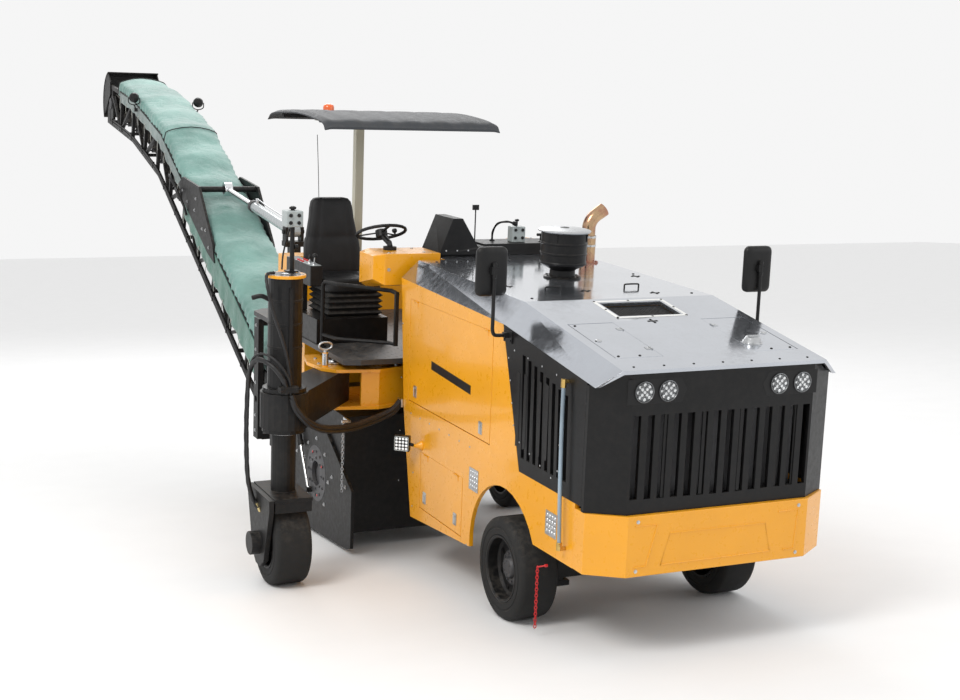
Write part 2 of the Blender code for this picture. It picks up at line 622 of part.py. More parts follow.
def seat():
    x0, x1 = DECK_RIGHT + 0.01, -0.66
    plinth_top = 1.52
    plinth = box((x0, 2.55, DECK_TOP + GAP), (x1, 3.45, plinth_top))
    name(plinth, "seat_plinth", "black")
    x = SEAT_X
    rings = []
    z = plinth_top + GAP
    for k in range(9):
        grow = 0.028 if k % 2 else 0.0
        rings.append([(x - 0.20 - grow, 2.66 - grow, z), (x + 0.20 + grow, 2.66 - grow, z),
                      (x + 0.20 + grow, 3.06 + grow, z), (x - 0.20 - grow, 3.06 + grow, z)])
        z += 0.0225
    bellows_top = z - 0.0225
    name(loft(rings), "seat_bellows", "rubber")
    low = bellows_top + GAP
    cushion = loft([[(x - h, 2.62, low + d), (x + h, 2.62, low + d), (x + h, 3.16, low + d),
                     (x - h, 3.16, low + d)]
                    for h, d in ((0.22, 0.0), (0.24, 0.03), (0.24, 0.09), (0.20, 0.115))])
    backrest = loft([[(x - w, 3.10 + lean, low + up), (x + w, 3.10 + lean, low + up),
                      (x + w, 3.235 + lean, low + up), (x - w, 3.235 + lean, low + up)]
                     for w, up, lean in ((0.22, 0.03, 0.0), (0.24, 0.18, 0.02), (0.235, 0.32, 0.04),
                                         (0.19, 0.50, 0.06), (0.175, 0.66, 0.085), (0.15, 0.685, 0.09))])
    name(fuse(cushion, backrest), "seat", "vinyl")
    console = box((DECK_RIGHT + 0.005, 2.70, 1.75), (-1.145, 3.30, 1.91))
    stem = box((DECK_RIGHT + 0.02, 3.00, plinth_top + GAP), (-1.165, 3.14, 1.76))
    name(fuse(console, stem), "armrest_console", "plastic")


def steering():
    centre = Vector((-0.80, 2.38, 2.20))
    tilt = Vector((0, 0.42, 1)).normalized()
    foot_z = 2.09 + GAP
    column = tube([(-0.80, 2.20, foot_z + 0.006), (-0.80, 2.20, foot_z + 0.03),
                   (-0.80, 2.215, foot_z + 0.05), tuple(centre - tilt * 0.02)], 0.022, 2)
    steps = 20
    side = Vector((1, 0, 0))
    ahead = tilt.cross(side)
    rim = [tuple(centre + (side * math.cos(a) + ahead * math.sin(a)) * 0.185)
           for a in [2 * math.pi * k / steps for k in range(steps)]]
    hoop = tube(rim, 0.0125, 2)
    hoop.data.splines[0].use_cyclic_u = True
    hub = rod(centre - tilt * 0.035, centre + tilt * 0.015, 0.045, 16)
    spokes = [beam(centre, centre + (side * math.cos(a) + ahead * math.sin(a)) * 0.183, 0.022, 0.010)
              for a in (math.radians(30), math.radians(150), math.radians(270))]
    foot = rod((-0.80, 2.20, foot_z), (-0.80, 2.20, foot_z + 0.025), 0.05)
    name(fuse(hub, solid_from_curve(column), foot, *spokes, solid_from_curve(hoop)), "steering_wheel",
         "plastic")


def dash():
    y0, y1 = 2.02, 2.36
    low = top_z(y0) + 0.012
    outline = [(-0.48, low), (-0.02, low), (-0.02, low + 0.06), (-0.16, low + 0.06), (-0.29, low + 0.27),
               (-0.37, low + 0.27)]
    hooded = plate("XZ", [outline], y0, y1)
    seat_on = GAP - 0.001
    ledge = loft([[(-0.10, y, top_z(y) + seat_on), (0.60, y, top_z(y) + seat_on), (0.60, y, low + 0.075),
                   (-0.10, y, low + 0.075)] for y in (y0 + 0.02, y1 - 0.02)])
    foot = loft([[(-0.46, y, top_z(y) + seat_on), (-0.06, y, top_z(y) + seat_on), (-0.06, y, low + 0.03),
                  (-0.46, y, low + 0.03)] for y in (y0 + 0.03, y1 - 0.03)])
    name(fuse(hooded, ledge, foot), "instrument_console", "plastic")


def canopy():
    x, y = -0.57, 3.52
    post = box((x - 0.035, y - 0.035, DECK_TOP + GAP), (x + 0.035, y + 0.035, 2.985))
    head = box((x - 0.35, y - 0.16, 2.975), (x + 0.35, y + 0.10, 3.0))
    name(fuse(post, head), "canopy_post", "black")
    x0, x1 = -1.28, 0.14
    line = [(2.33, 2.955), (2.42, 3.005), (2.75, 3.035), (3.05, 3.045), (3.35, 3.035), (3.62, 3.015),
            (3.74, 2.965)]
    top = offset(line, 0.035)
    roof = plate("YZ", [top + line[::-1]], x0, x1)
    rest = box((x - 0.345, y - 0.155, 3.0 + GAP), (x + 0.345, y + 0.095, 3.036))
    name(fuse(roof, rest), "canopy_roof", "canopy_grey")


def handrails():
    z0, z1 = DECK_TOP + GAP, 1.83
    x = DECK_RIGHT + 0.012
    outer = tube([(x, 2.43, z0), (x, 2.43, z1 - 0.03), (x + 0.008, 2.41, z1), (x + 0.06, 2.27, z1),
                  (-0.875, 1.96, z1 - 0.01), (-0.858, 1.92, z1 - 0.02), (-0.855, 1.885, z1 - 0.03)], 0.016,
                 2)
    inner = tube([(x, 2.43, 1.43), (x + 0.06, 2.27, 1.42), (-0.875, 1.96, 1.43), (-0.855, 1.90, 1.43)],
                 0.014, 2)
    foot = rod((x + 0.004, 2.43, z0), (x + 0.004, 2.43, z0 + 0.01), 0.028)
    clamp = box((-0.872, BODY_REAR + 0.008, 1.42), (-0.845, BODY_REAR + 0.034, 1.82))
    name(fuse(solid_from_curve(outer), solid_from_curve(inner), foot, clamp), "handrail_right", "black")
    left = tube([(0.93, 1.96, z0), (0.93, 1.96, 1.86), (0.93, 1.99, 1.90), (0.93, 2.55, 1.90),
                 (0.93, 2.58, 1.86), (0.93, 2.58, z0)], 0.018, 2)
    mid = tube([(0.93, 1.96, 1.62), (0.93, 2.58, 1.62)], 0.014, 2)
    name(fuse(solid_from_curve(left), solid_from_curve(mid)), "handrail_left", "black")


# ---------------------------------------------------------------- milling drum and its housing
def housing():
    x0, x1 = HOUSING_RIGHT, -0.045
    top = RAIL_LOW - GAP
    t = 0.030
    front = box((x0, HOUSING_FRONT, -0.10), (x1, HOUSING_FRONT + t, top))
    rear = box((x0, HOUSING_REAR - t, -0.20), (x1, HOUSING_REAR, top))
    roof = box((x0, HOUSING_FRONT + 0.01, top - t), (x1, HOUSING_REAR - 0.01, top))
    walls = []
    for near, far in ((x0, x0 + 0.025), (x1 - 0.025, x1)):
        hole = arc((DRUM_Y, DRUM_Z), 0.0812, 0, 345, 24)
        outline = [(HOUSING_FRONT + 0.005, -0.14), (HOUSING_REAR - 0.005, -0.24),
                   (HOUSING_REAR - 0.005, top - 0.005), (HOUSING_FRONT + 0.005, top - 0.005)]
        walls.append(plate("YZ", [outline, hole], near, far))
    drive = plate("YZ", [arc((DRUM_Y, 0.235), 0.21, 0, 345, 24), arc((DRUM_Y, DRUM_Z), 0.0812, 0, 345, 24)],
                  x1 - 0.01, 0.10)
    name(fuse(front, rear, roof, *walls, drive), "drum_housing", "black")


def drum():
    x0, x1 = DRUM_RIGHT, DRUM_LEFT
    middle, half = (x0 + x1) / 2, (x1 - x0) / 2
    shell = DRUM_R - 0.085
    body = turned((middle, DRUM_Y, DRUM_Z), (1, 0, 0),
                  [(0, half + 0.05), (0.08, half + 0.05), (0.08, half), (shell, half), (shell, -half),
                   (0.08, -half), (0.08, -half - 0.045), (0, -half - 0.045)], 32)
    for k in range(16):
        a = math.radians(75 * k)
        x = x0 + 0.045 + (x1 - x0 - 0.09) * k / 15
        near = Vector((x, DRUM_Y + math.cos(a) * (shell - 0.02), DRUM_Z + math.sin(a) * (shell - 0.02)))
        far = Vector((x, DRUM_Y + math.cos(a) * (DRUM_R - 0.004), DRUM_Z + math.sin(a) * (DRUM_R - 0.004)))
        fuse(body, rod(near, far, 0.032, 6, 0.014))
    name(body, "milling_drum", "dark_steel")


def side_plate():
    near, far = HOUSING_RIGHT - BEARING, HOUSING_RIGHT - BEARING - 0.024
    low_front, low_rear = ground_z(2.02) + 0.03, ground_z(3.40) + 0.03
    outline = [(2.02, low_front + 0.02), (2.10, ground_z(2.10) + 0.03), (3.34, ground_z(3.34) + 0.03),
               (3.40, low_rear + 0.05), (3.40, 0.40), (3.20, 0.62), (2.60, 0.62), (2.02, 0.30)]
    window = arc((DRUM_Y, DRUM_Z + 0.02), 0.225, 0, 345, 24)
    name(plate("YZ", [outline, window], near, far), "edge_plate_right", "black")


# ---------------------------------------------------------------- rear legs
def swing_bracket():
    outline = [(BRACKET_X, 2.02), (-0.97, 1.90), (-1.29, 1.96), (-1.37, 2.06), (-1.40, 2.30), (-1.34, 2.56),
               (BRACKET_X, 2.60)]
    lower = plate("XY", [outline], ARM_LOW - 0.025, ARM_LOW)
    upper = plate("XY", [outline], ARM_TOP, ARM_TOP + 0.025)
    wall = box((BRACKET_X - 0.025, 2.025, ARM_LOW - 0.02), (BRACKET_X, 2.59, ARM_TOP + 0.02))
    web = plate("XY",
                [[(-0.63, 2.03), (-0.63, 2.055), (-0.965, 1.945), (-1.10, 1.965), (-1.10, 1.940),
                  (-0.97, 1.915)]], ARM_LOW - 0.01, ARM_TOP + 0.01)
    pin = rod((SWING_X, SWING_Y, ARM_LOW - 0.06), (SWING_X, SWING_Y, ARM_TOP + 0.05), 0.045, 20)
    lock = rod((-1.325, 2.10, ARM_TOP + 0.01), (-1.325, 2.10, ARM_TOP + 0.13), 0.022, 12)
    boss = rod((-0.90, 2.12, ARM_TOP + 0.01), (-0.90, 2.12, ARM_TOP + 0.045), 0.06, 20)
    name(fuse(lower, upper, wall, web, pin, lock, boss), "swing_bracket", "yellow")


def swing_arm():
    reach = Vector((LEG_RIGHT_X - SWING_X, LEG_RIGHT_Y - SWING_Y))
    heading = math.degrees(math.atan2(reach.y, reach.x))
    pivot_end = arc((SWING_X, SWING_Y), 0.115, heading + 90, heading + 270, 9)
    leg_end = arc((LEG_RIGHT_X, LEG_RIGHT_Y), 0.165, heading - 115, heading + 115, 15)
    pin_hole = arc((SWING_X, SWING_Y), 0.0462, 0, 340, 18)
    leg_hole = arc((LEG_RIGHT_X, LEG_RIGHT_Y), SLEEVE_R + 0.0012, 0, 345, 24)
    arm = plate("XY", [pivot_end + leg_end, pin_hole, leg_hole], ARM_LOW + BEARING, ARM_TOP - BEARING)
    name(arm, "swing_arm", "black")


def leg(word, x, y, low_collar, top):
    """A height column: sleeve with its flange, and under it the tube with the wheel's fork."""
    outward = 1 if x > 0 else -1
    wheel_z = standing_z(y, REAR_TYRE_R)
    bottom = 0.60 if outward > 0 else 1.035 - 0.10
    profile = [(0, top), (0.135, top), (0.135, top - 0.02), (SLEEVE_R, top - 0.02)]
    for z in low_collar:
        profile += [(SLEEVE_R, z + 0.03), (0.15, z + 0.03), (0.15, z), (SLEEVE_R, z)]
    profile += [(SLEEVE_R, bottom), (LEG_TUBE_R + GAP, bottom), (LEG_TUBE_R + GAP, bottom + 0.30),
                (0, bottom + 0.30)]
    name(turned((x, y, 0), (0, 0, 1), profile, 24), "leg_sleeve_" + word, "black")
    cap_z = wheel_z + REAR_TYRE_R + 0.035
    tube_part = rod((x, y, cap_z), (x, y, bottom + 0.30 - GAP), LEG_TUBE_R, 24)
    wide = TYRE_W / 2 + 0.012
    plate_x = x + outward * wide
    sheet = 0.035
    cap = box((x - wide + 0.005, y - 0.25, cap_z), (x + wide - 0.005, y + 0.25, cap_z + 0.025))
    skirts = [box((x - wide + 0.01, y + s - 0.008, cap_z - 0.075),
                  (x + wide - 0.01, y + s + 0.008, cap_z + 0.02)) for s in (-0.235, 0.235)]
    edge = sorted((plate_x, plate_x + outward * sheet))
    cheek = plate("YZ",
                  [[(y - 0.25, cap_z + 0.02), (y - 0.25, cap_z - 0.06), (y - 0.13, wheel_z - 0.10),
                    (y - 0.05, wheel_z - 0.16), (y + 0.05, wheel_z - 0.16), (y + 0.13, wheel_z - 0.10),
                    (y + 0.25, cap_z - 0.06), (y + 0.25, cap_z + 0.02)]], edge[0], edge[1])
    tie = box((min(x, edge[0]), y - 0.245, cap_z + 0.004),
              (max(x, edge[1] - 0.002), y + 0.245, cap_z + 0.018))
    motor = rod((plate_x + outward * 0.10, y, wheel_z), (x + outward * (0.04 + BEARING), y, wheel_z), 0.082,
                20)
    name(fuse(tube_part, cap, *skirts, cheek, tie, motor), "leg_fork_" + word, "black")
    wheel("rear_wheel_" + word, (x, y, wheel_z), REAR_TYRE_R, outward)


# ---------------------------------------------------------------- discharge conveyor
def truss_side(level_near, level_far):
    """One flat side of the conveyor's frame, with triangular openings."""
    bar = 0.05
    lower, upper = CHORD, offset(CHORD, TRUSS_D)
    inner_low, inner_top = offset(CHORD, bar), offset(CHORD, TRUSS_D - bar)
    outline = lower + upper[::-1]
    panels = 11
    strut = 0.024
    total_low, total_top = length(inner_low), length(inner_top)
    holes = []
    for k in range(panels):
        a0, a1 = 0.03 + (0.985 - 0.03) * k / panels, 0.03 + (0.985 - 0.03) * (k + 1) / panels
        low0 = station(inner_low, total_low * a0 + strut)
        low1 = station(inner_low, total_low * a1 - strut)
        top0 = station(inner_top, total_top * a0 + strut)
        top1 = station(inner_top, total_top * a1 - strut)
        if k % 2:
            low0, low1, top0, top1 = low1, low0, top1, top0
            shift_low = station(inner_low, total_low * a1 - 3.2 * strut)
            shift_top = station(inner_top, total_top * a0 + 3.2 * strut)
        else:
            shift_low = station(inner_low, total_low * a0 + 3.2 * strut)
            shift_top = station(inner_top, total_top * a1 - 3.2 * strut)
        holes.append([low0, top0, shift_top])
        holes.append([shift_low, low1, top1])
    return plate("YZ", [outline] + holes, level_near, level_far)


def conveyor_line(share, lift):
    """Body-frame (y, z) at a share of the lower chord's length, lifted square to it."""
    return station(offset(CHORD, lift), length(offset(CHORD, lift)) * share)


def conveyor_frame():
    x0, x1 = CONV_X - CONV_HALF, CONV_X + CONV_HALF
    t = 0.035
    right = truss_side(x0, x0 + t)
    left = truss_side(x1 - t, x1)
    ties = []
    for share in (0.02, 0.16, 0.30, 0.44, 0.58, 0.72, 0.86, 0.985):
        y, z = conveyor_line(share, 0.03)
        ties.append(box((x0 + 0.01, y - 0.018, z - 0.018), (x1 - 0.01, y + 0.018, z + 0.018)))
    drums = []
    for share, lift in ((0.025, TAIL_LIFT), (0.975, HEAD_LIFT)):
        y, z = conveyor_line(share, lift)
        drums.append(rod((x0 + 0.004, y, z), (x1 - 0.004, y, z), 0.095, 20))
        for side_x in (x0, x1 - t):
            drums.append(box((side_x + 0.003, y - 0.11, z - TRUSS_D * 0.4),
                             (side_x + t - 0.003, y + 0.07, z + TRUSS_D * 0.4)))
    hinge = rod((x0 - 0.06, LIFT_Y, LIFT_Z), (x1 + 0.06, LIFT_Y, LIFT_Z), 0.03, 16)
    gussets = []
    for side_x in (x0 - 0.020, x1 - 0.005):
        gussets.append(plate("YZ", [[(6.30, 1.45), (6.55, 1.52), (7.60, 1.98), (7.72, 2.12), (7.55, 2.20),
                                     (7.02, 2.16), (6.90, 2.15), (6.36, 1.62)]], side_x, side_x + 0.025))
    bar = rod((x0 - 0.018, CROSSBAR_Y, CROSSBAR_Z), (x1 + 0.018, CROSSBAR_Y, CROSSBAR_Z), 0.030, 16)
    name(fuse(right, left, *ties, *drums, hinge, *gussets, bar), "conveyor_frame", "black")


def belt():
    """The endless belt round both drums."""
    r = (0.095 + GAP) / math.cos(math.radians(7.5))
    tail = Vector(conveyor_line(0.025, TAIL_LIFT))
    head = Vector(conveyor_line(0.975, HEAD_LIFT))
    low_mid = [Vector(p) for p in offset(CHORD, (TAIL_LIFT + HEAD_LIFT) / 2 - r)[1:3]]
    top_mid = [Vector(p) for p in offset(CHORD, (TAIL_LIFT + HEAD_LIFT) / 2 + r)[1:3]]
    t = 0.014

    def loop(grow):
        tail_angle = math.degrees(math.atan2((low_mid[0] - tail).y, (low_mid[0] - tail).x))
        head_angle = math.degrees(math.atan2((head - low_mid[1]).y, (head - low_mid[1]).x))
        around_head = arc(head, r + grow, head_angle - 90, head_angle + 90, 13)
        around_tail = arc(tail, r + grow, tail_angle + 90, tail_angle + 270, 13)
        lift = Vector((-math.sin(math.radians(16)), math.cos(math.radians(16)))) * grow
        upper, lower = [tuple(p + lift) for p in top_mid[::-1]], [tuple(p - lift) for p in low_mid]
        return around_head + upper + around_tail + lower

    half = CONV_HALF - 0.035 - 0.02
    name(plate("YZ", [loop(t), loop(0)], CONV_X - half, CONV_X + half), "conveyor_belt", "rubber")


def cover():
    """The tarpaulin over the conveyor, as one arched sheet."""
    t = 0.012
    half = CONV_HALF - 0.008
    arch = [(-half, 0.0), (-half + 0.015, 0.095), (-0.16, 0.135), (0, 0.15), (0.16, 0.135),
            (half - 0.015, 0.095), (half, 0.0)]
    inside = [(half - t, 0.0), (half - 0.015 - t, 0.095 - t), (0.16, 0.135 - t), (0, 0.15 - t),
              (-0.16, 0.135 - t), (-half + 0.015 + t, 0.095 - t), (-half + t, 0.0)]
    span = length(CHORD)
    covered = [station(CHORD, span * 0.035), CHORD[1], CHORD[2], station(CHORD, span * 0.925)]
    lines = [(CONV_X + across, offset(covered, TRUSS_D + GAP + rise)) for across, rise in arch + inside]
    sections = [[(x, *line[k]) for x, line in lines] for k in range(len(covered))]
    name(loft(sections), "conveyor_cover", "tarp")


def end_guard():
    """Curved rubber-edged hood over the discharge end."""
    head = Vector(conveyor_line(0.975, HEAD_LIFT))
    outer, inner = 0.40, 0.385
    ring = arc(head, outer, -28, 78, 12) + arc(head, inner, 78, -28, 12)
    shell = plate("YZ", [ring], CONV_X - CONV_HALF - 0.02, CONV_X + CONV_HALF + 0.02)
    cheeks = []
    for x in (CONV_X - CONV_HALF - GAP - 0.014, CONV_X + CONV_HALF + GAP):
        outline = arc(head, outer - 0.004, -24, 74, 10) + [(head.x - 0.02, head.y + 0.27),
                                                           (head.x - 0.02, head.y + 0.12)]
        cheeks.append(plate("YZ", [outline], x, x + 0.014))
    name(fuse(shell, *cheeks), "conveyor_end_guard", "black")


def slew_frame():
    """Portal that carries the conveyor and turns on the frame's rear lugs."""
    inner = CONV_HALF + 0.04
    t = 0.05
    low, high = 0.09, 1.185
    legs = []
    for side in (-1, 1):
        x = CONV_X + side * inner
        legs.append(box((min(x, x + side * t), SLEW_Y - 0.05, low),
                        (max(x, x + side * t), SLEW_Y + 0.08, high)))
    bottom = box((CONV_X - inner - 0.01, SLEW_Y - 0.06, low - 0.003),
                 (CONV_X + inner + 0.01, SLEW_Y + 0.06, low + 0.05))
    beam_top = box((CONV_X - inner - 0.01, SLEW_Y - 0.06, high - 0.06),
                   (CONV_X + inner + 0.01, SLEW_Y + 0.06, high + 0.003))
    mast = beam((CONV_X, SLEW_Y + 0.145, high - 0.03), (CONV_X, SLEW_Y + 0.17, CYL_Z - 0.11), 0.10, 0.08)
    mast_foot = box((CONV_X - 0.15, SLEW_Y + 0.03, high - 0.055),
                    (CONV_X + 0.15, SLEW_Y + 0.19, high - 0.005))
    yoke = box((CONV_X - 0.09, CYL_Y - 0.08, CYL_Z - 0.13), (CONV_X + 0.09, CYL_Y + 0.05, CYL_Z - 0.085))
    ears = [box((CONV_X + s * 0.0725 - 0.0125, CYL_Y - 0.05, CYL_Z - 0.10),
                (CONV_X + s * 0.0725 + 0.0125, CYL_Y + 0.045, CYL_Z + 0.045)) for s in (-1, 1)]
    pin = rod((CONV_X - 0.10, CYL_Y, CYL_Z), (CONV_X + 0.10, CYL_Y, CYL_Z), 0.022, 12)
    portal = fuse(legs[0], legs[1], bottom, beam_top, mast_foot, mast, yoke, *ears, pin)
    for z in (0.0, 1.10):
        cut(portal, rod((CONV_X, SLEW_Y, z), (CONV_X, SLEW_Y, z + 0.16), 0.0358, 24))
    cut(portal,
        rod((CONV_X - inner - 0.06, LIFT_Y, LIFT_Z), (CONV_X + inner + 0.06, LIFT_Y, LIFT_Z), 0.0308, 24))
    name(portal, "conveyor_slew_frame", "black")


def lift_cylinder():
    base, tip = Vector((CONV_X, CYL_Y, CYL_Z)), Vector((CONV_X, CROSSBAR_Y, CROSSBAR_Z))
    way = (tip - base).normalized()
    barrel_len = 1.25
    eye = turned(base, (1, 0, 0),
                 [(0.0228, 0.055), (0.05, 0.055), (0.05, -0.055), (0.0228, -0.055), (0.0228, 0.055)], 20)
    gland = base + way * barrel_len
    profile = [(0.0308, 0), (0.058, 0), (0.058, -0.05), (0.05, -0.06), (0.05, -barrel_len + 0.075),
               (0.042, -barrel_len + 0.045), (0, -barrel_len + 0.045), (0, -barrel_len + 0.10),
               (0.0308, -barrel_len + 0.10), (0.0308, 0)]
    tube_body = turned(gland, tuple(way), profile, 24)
    name(fuse(tube_body, eye), "lift_cylinder_barrel", "bright_steel")
    rod_body = rod(base + way * 0.50, tip - way * 0.055, 0.030, 20)
    rod_eye = turned(tip, (1, 0, 0),
                     [(0.050, 0.04), (0.073, 0.04), (0.073, -0.04), (0.050, -0.04), (0.050, 0.04)], 24)
    name(fuse(rod_body, rod_eye), "lift_cylinder_rod", "bright_steel")


def main():
    chassis()
    engine()
    front_axle()
    for side, word in ((-1, "right"), (1, "left")):
        front_corner(side, word)
        side_panel(side, word)
        side_grille(side, word)
    bumper()
    radiator_grille()
    hood()
    cowl()
    hood_fittings()
    mirror(-1, "right", 0.09)
    mirror(1, "left", -0.02)
    platform()
    seat()
    steering()
    dash()
    canopy()
    handrails()
    housing()
    drum()
    side_plate()
    swing_bracket()
    swing_arm()
    leg("right", LEG_RIGHT_X, LEG_RIGHT_Y, (ARM_TOP, ARM_LOW - 0.03), SLEEVE_TOP)
    leg("left", LEG_LEFT_X, LEG_LEFT_Y, (), SLEEVE_TOP)
    conveyor_frame()
    belt()
    cover()
    end_guard()
    slew_frame()
    lift_cylinder()


main()
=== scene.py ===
"""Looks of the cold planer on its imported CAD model: materials, fine detail, cloth, hoses, light and camera.

Detail is written in the machine's own level frame, as the CAD source is: x across, with the operator's
right at -x, y from the front axle to the rear, z up. LEVEL is that frame's place in the row's frame.
"""
import json
import math

import bmesh
import bpy
from mathutils import Matrix, Vector, noise


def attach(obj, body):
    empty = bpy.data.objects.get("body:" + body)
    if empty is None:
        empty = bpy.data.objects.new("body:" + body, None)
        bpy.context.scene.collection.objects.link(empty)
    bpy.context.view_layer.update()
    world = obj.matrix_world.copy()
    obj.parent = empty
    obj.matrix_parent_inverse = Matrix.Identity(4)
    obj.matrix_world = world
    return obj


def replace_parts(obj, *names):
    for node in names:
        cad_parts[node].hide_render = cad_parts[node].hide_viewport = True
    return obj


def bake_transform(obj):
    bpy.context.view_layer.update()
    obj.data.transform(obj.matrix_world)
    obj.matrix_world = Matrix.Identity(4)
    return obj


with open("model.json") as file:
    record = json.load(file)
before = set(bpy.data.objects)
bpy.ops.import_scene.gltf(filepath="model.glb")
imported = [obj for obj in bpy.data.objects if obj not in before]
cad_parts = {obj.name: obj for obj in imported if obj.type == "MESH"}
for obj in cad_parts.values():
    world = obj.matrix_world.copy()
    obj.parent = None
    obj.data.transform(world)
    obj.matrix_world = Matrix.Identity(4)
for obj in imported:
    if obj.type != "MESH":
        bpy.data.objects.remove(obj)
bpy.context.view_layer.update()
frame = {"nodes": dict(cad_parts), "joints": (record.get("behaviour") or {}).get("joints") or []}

# ---------------------------------------------------------------- the machine's own frame
JOINTS = {joint["name"]: joint for joint in frame["joints"]}


def level_frame():
    """The leaning machine's frame, from the two kingpins' places and directions."""
    pins = [Vector(JOINTS["steer_" + word]["pos_m"]) for word in ("right", "left")]
    up = Vector(JOINTS["steer_right"]["axis"]).normalized()
    axle = (pins[0] + pins[1]) / 2
    across = Vector((1, 0, 0))
    rear = up.cross(across)
    origin = axle - up * axle.z
    return Matrix((across, rear, up)).transposed().to_4x4(), origin


turned_by, moved_by = level_frame()
LEVEL = Matrix.Translation(moved_by) @ turned_by
TO_LEVEL = LEVEL.inverted()


def own_box(node):
    """Lowest and highest corners of a CAD node in the machine's own frame."""
    points = [TO_LEVEL @ vertex.co for vertex in frame["nodes"][node].data.vertices]
    low = Vector([min(point[k] for point in points) for k in range(3)])
    high = Vector([max(point[k] for point in points) for k in range(3)])
    return low, high


def joint_place(name):
    return TO_LEVEL @ Vector(JOINTS[name]["pos_m"])


# ---------------------------------------------------------------- materials
def new_material(name, colour, roughness, metallic=0.0):
    made = bpy.data.materials.new(name)
    made.use_nodes = True
    shader = made.node_tree.nodes["Principled BSDF"]
    shader.inputs["Base Color"].default_value = (*colour, 1.0)
    shader.inputs["Roughness"].default_value = roughness
    shader.inputs["Metallic"].default_value = metallic
    return made, made.node_tree, shader


def add(tree, kind, **settings):
    node = tree.nodes.new(kind)
    for key, value in settings.items():
        if key in node.inputs:
            node.inputs[key].default_value = value
        else:
            setattr(node, key, value)
    return node


def cloud(tree, scale, detail=4.0, roughness=0.55):
    """Noise on the object's own coordinates."""
    place = add(tree, "ShaderNodeTexCoord")
    made = add(tree, "ShaderNodeTexNoise", Scale=scale, Detail=detail, Roughness=roughness)
    tree.links.new(place.outputs["Object"], made.inputs["Vector"])
    return made


def ranged(tree, source, low, high, start=0.3, end=0.7):
    """A value between low and high, as source runs from start to end."""
    made = add(tree, "ShaderNodeMapRange")
    made.inputs["From Min"].default_value = start
    made.inputs["From Max"].default_value = end
    made.inputs["To Min"].default_value = low
    made.inputs["To Max"].default_value = high
    tree.links.new(source, made.inputs["Value"])
    return made.outputs["Result"]


def mixed(tree, factor, first, second):
    """A colour between two colours; each is a colour or a socket."""
    made = add(tree, "ShaderNodeMix", data_type="RGBA")
    tree.links.new(factor, made.inputs[0])
    for socket, value in ((made.inputs[6], first), (made.inputs[7], second)):
        if isinstance(value, tuple):
            socket.default_value = (*value, 1.0)
        else:
            tree.links.new(value, socket)
    return made.outputs[2]


def bumped(tree, shader, height, distance, strength=1.0):
    made = add(tree, "ShaderNodeBump", Strength=strength, Distance=distance)
    tree.links.new(height, made.inputs["Height"])
    tree.links.new(made.outputs["Normal"], shader.inputs["Normal"])
    return made


def worn(name, colour, roughness, metallic=0.0, vary=0.08, grain=350.0, depth=0.0002, dust=0.0, coat=0.0,
         specular=0.5):
    """A surface with uneven tone and gloss, a fine grain, and dust on what faces up."""
    made, tree, shader = new_material(name, colour, roughness, metallic)
    shader.inputs["Coat Weight"].default_value = coat
    shader.inputs["Specular IOR Level"].default_value = specular
    shader.inputs["Coat Roughness"].default_value = 0.08
    broad = cloud(tree, 2.3)
    fine = cloud(tree, 26.0, 6.0, 0.65)
    darker = tuple(c * (1 - vary) for c in colour)
    lighter = tuple(min(1.0, c * (1 + vary)) for c in colour)
    tone = mixed(tree, ranged(tree, broad.outputs["Fac"], 0, 1), darker, lighter)
    if dust:
        normal = add(tree, "ShaderNodeNewGeometry")
        parts = add(tree, "ShaderNodeSeparateXYZ")
        tree.links.new(normal.outputs["Normal"], parts.inputs["Vector"])
        upward = ranged(tree, parts.outputs["Z"], 0.15, 1.0, 0.0, 1.0)
        patchy = ranged(tree, fine.outputs["Fac"], 0.0, dust, 0.42, 0.75)
        both = add(tree, "ShaderNodeMath", operation="MULTIPLY")
        tree.links.new(upward, both.inputs[0])
        tree.links.new(patchy, both.inputs[1])
        tone = mixed(tree, both.outputs[0], tone, (0.32, 0.28, 0.23))
    tree.links.new(tone, shader.inputs["Base Color"])
    gloss = ranged(tree, fine.outputs["Fac"], max(0.02, roughness - 0.05), min(1.0, roughness + 0.08), 0.35,
                   0.65)
    tree.links.new(gloss, shader.inputs["Roughness"])
    grains = cloud(tree, grain, 2.0)
    bumped(tree, shader, grains.outputs["Fac"], depth, 0.6)
    return made


def tarpaulin(name, colour):
    """Coated cloth: a square weave, creases and faded patches."""
    made, tree, shader = new_material(name, colour, 0.55)
    shader.inputs["Sheen Weight"].default_value = 0.25
    shader.inputs["Sheen Roughness"].default_value = 0.4
    patches = cloud(tree, 1.6, 5.0, 0.6)
    tone = mixed(tree, ranged(tree, patches.outputs["Fac"], 0, 1, 0.35, 0.65),
                 tuple(c * 0.82 for c in colour), tuple(min(1, c * 1.22 + 0.02) for c in colour))
    tree.links.new(tone, shader.inputs["Base Color"])
    place = add(tree, "ShaderNodeTexCoord")
    threads = []
    for direction in ("X", "Y"):
        thread = add(tree, "ShaderNodeTexWave", Scale=160.0, bands_direction=direction, Distortion=0.4)
        tree.links.new(place.outputs["Object"], thread.inputs["Vector"])
        threads.append(thread.outputs["Fac"])
    weave = add(tree, "ShaderNodeMath", operation="MULTIPLY")
    for socket, thread in zip(weave.inputs, threads):
        tree.links.new(thread, socket)
    creases = add(tree, "ShaderNodeTexNoise", Scale=9.0, Detail=5.0, Roughness=0.55, Distortion=1.6)
    tree.links.new(place.outputs["Object"], creases.inputs["Vector"])
    total = add(tree, "ShaderNodeMath", operation="MULTIPLY_ADD")
    total.inputs[1].default_value = 0.03
    tree.links.new(weave.outputs[0], total.inputs[0])
    tree.links.new(creases.outputs["Fac"], total.inputs[2])
    bumped(tree, shader, total.outputs[0], 0.02, 0.5)
    return made


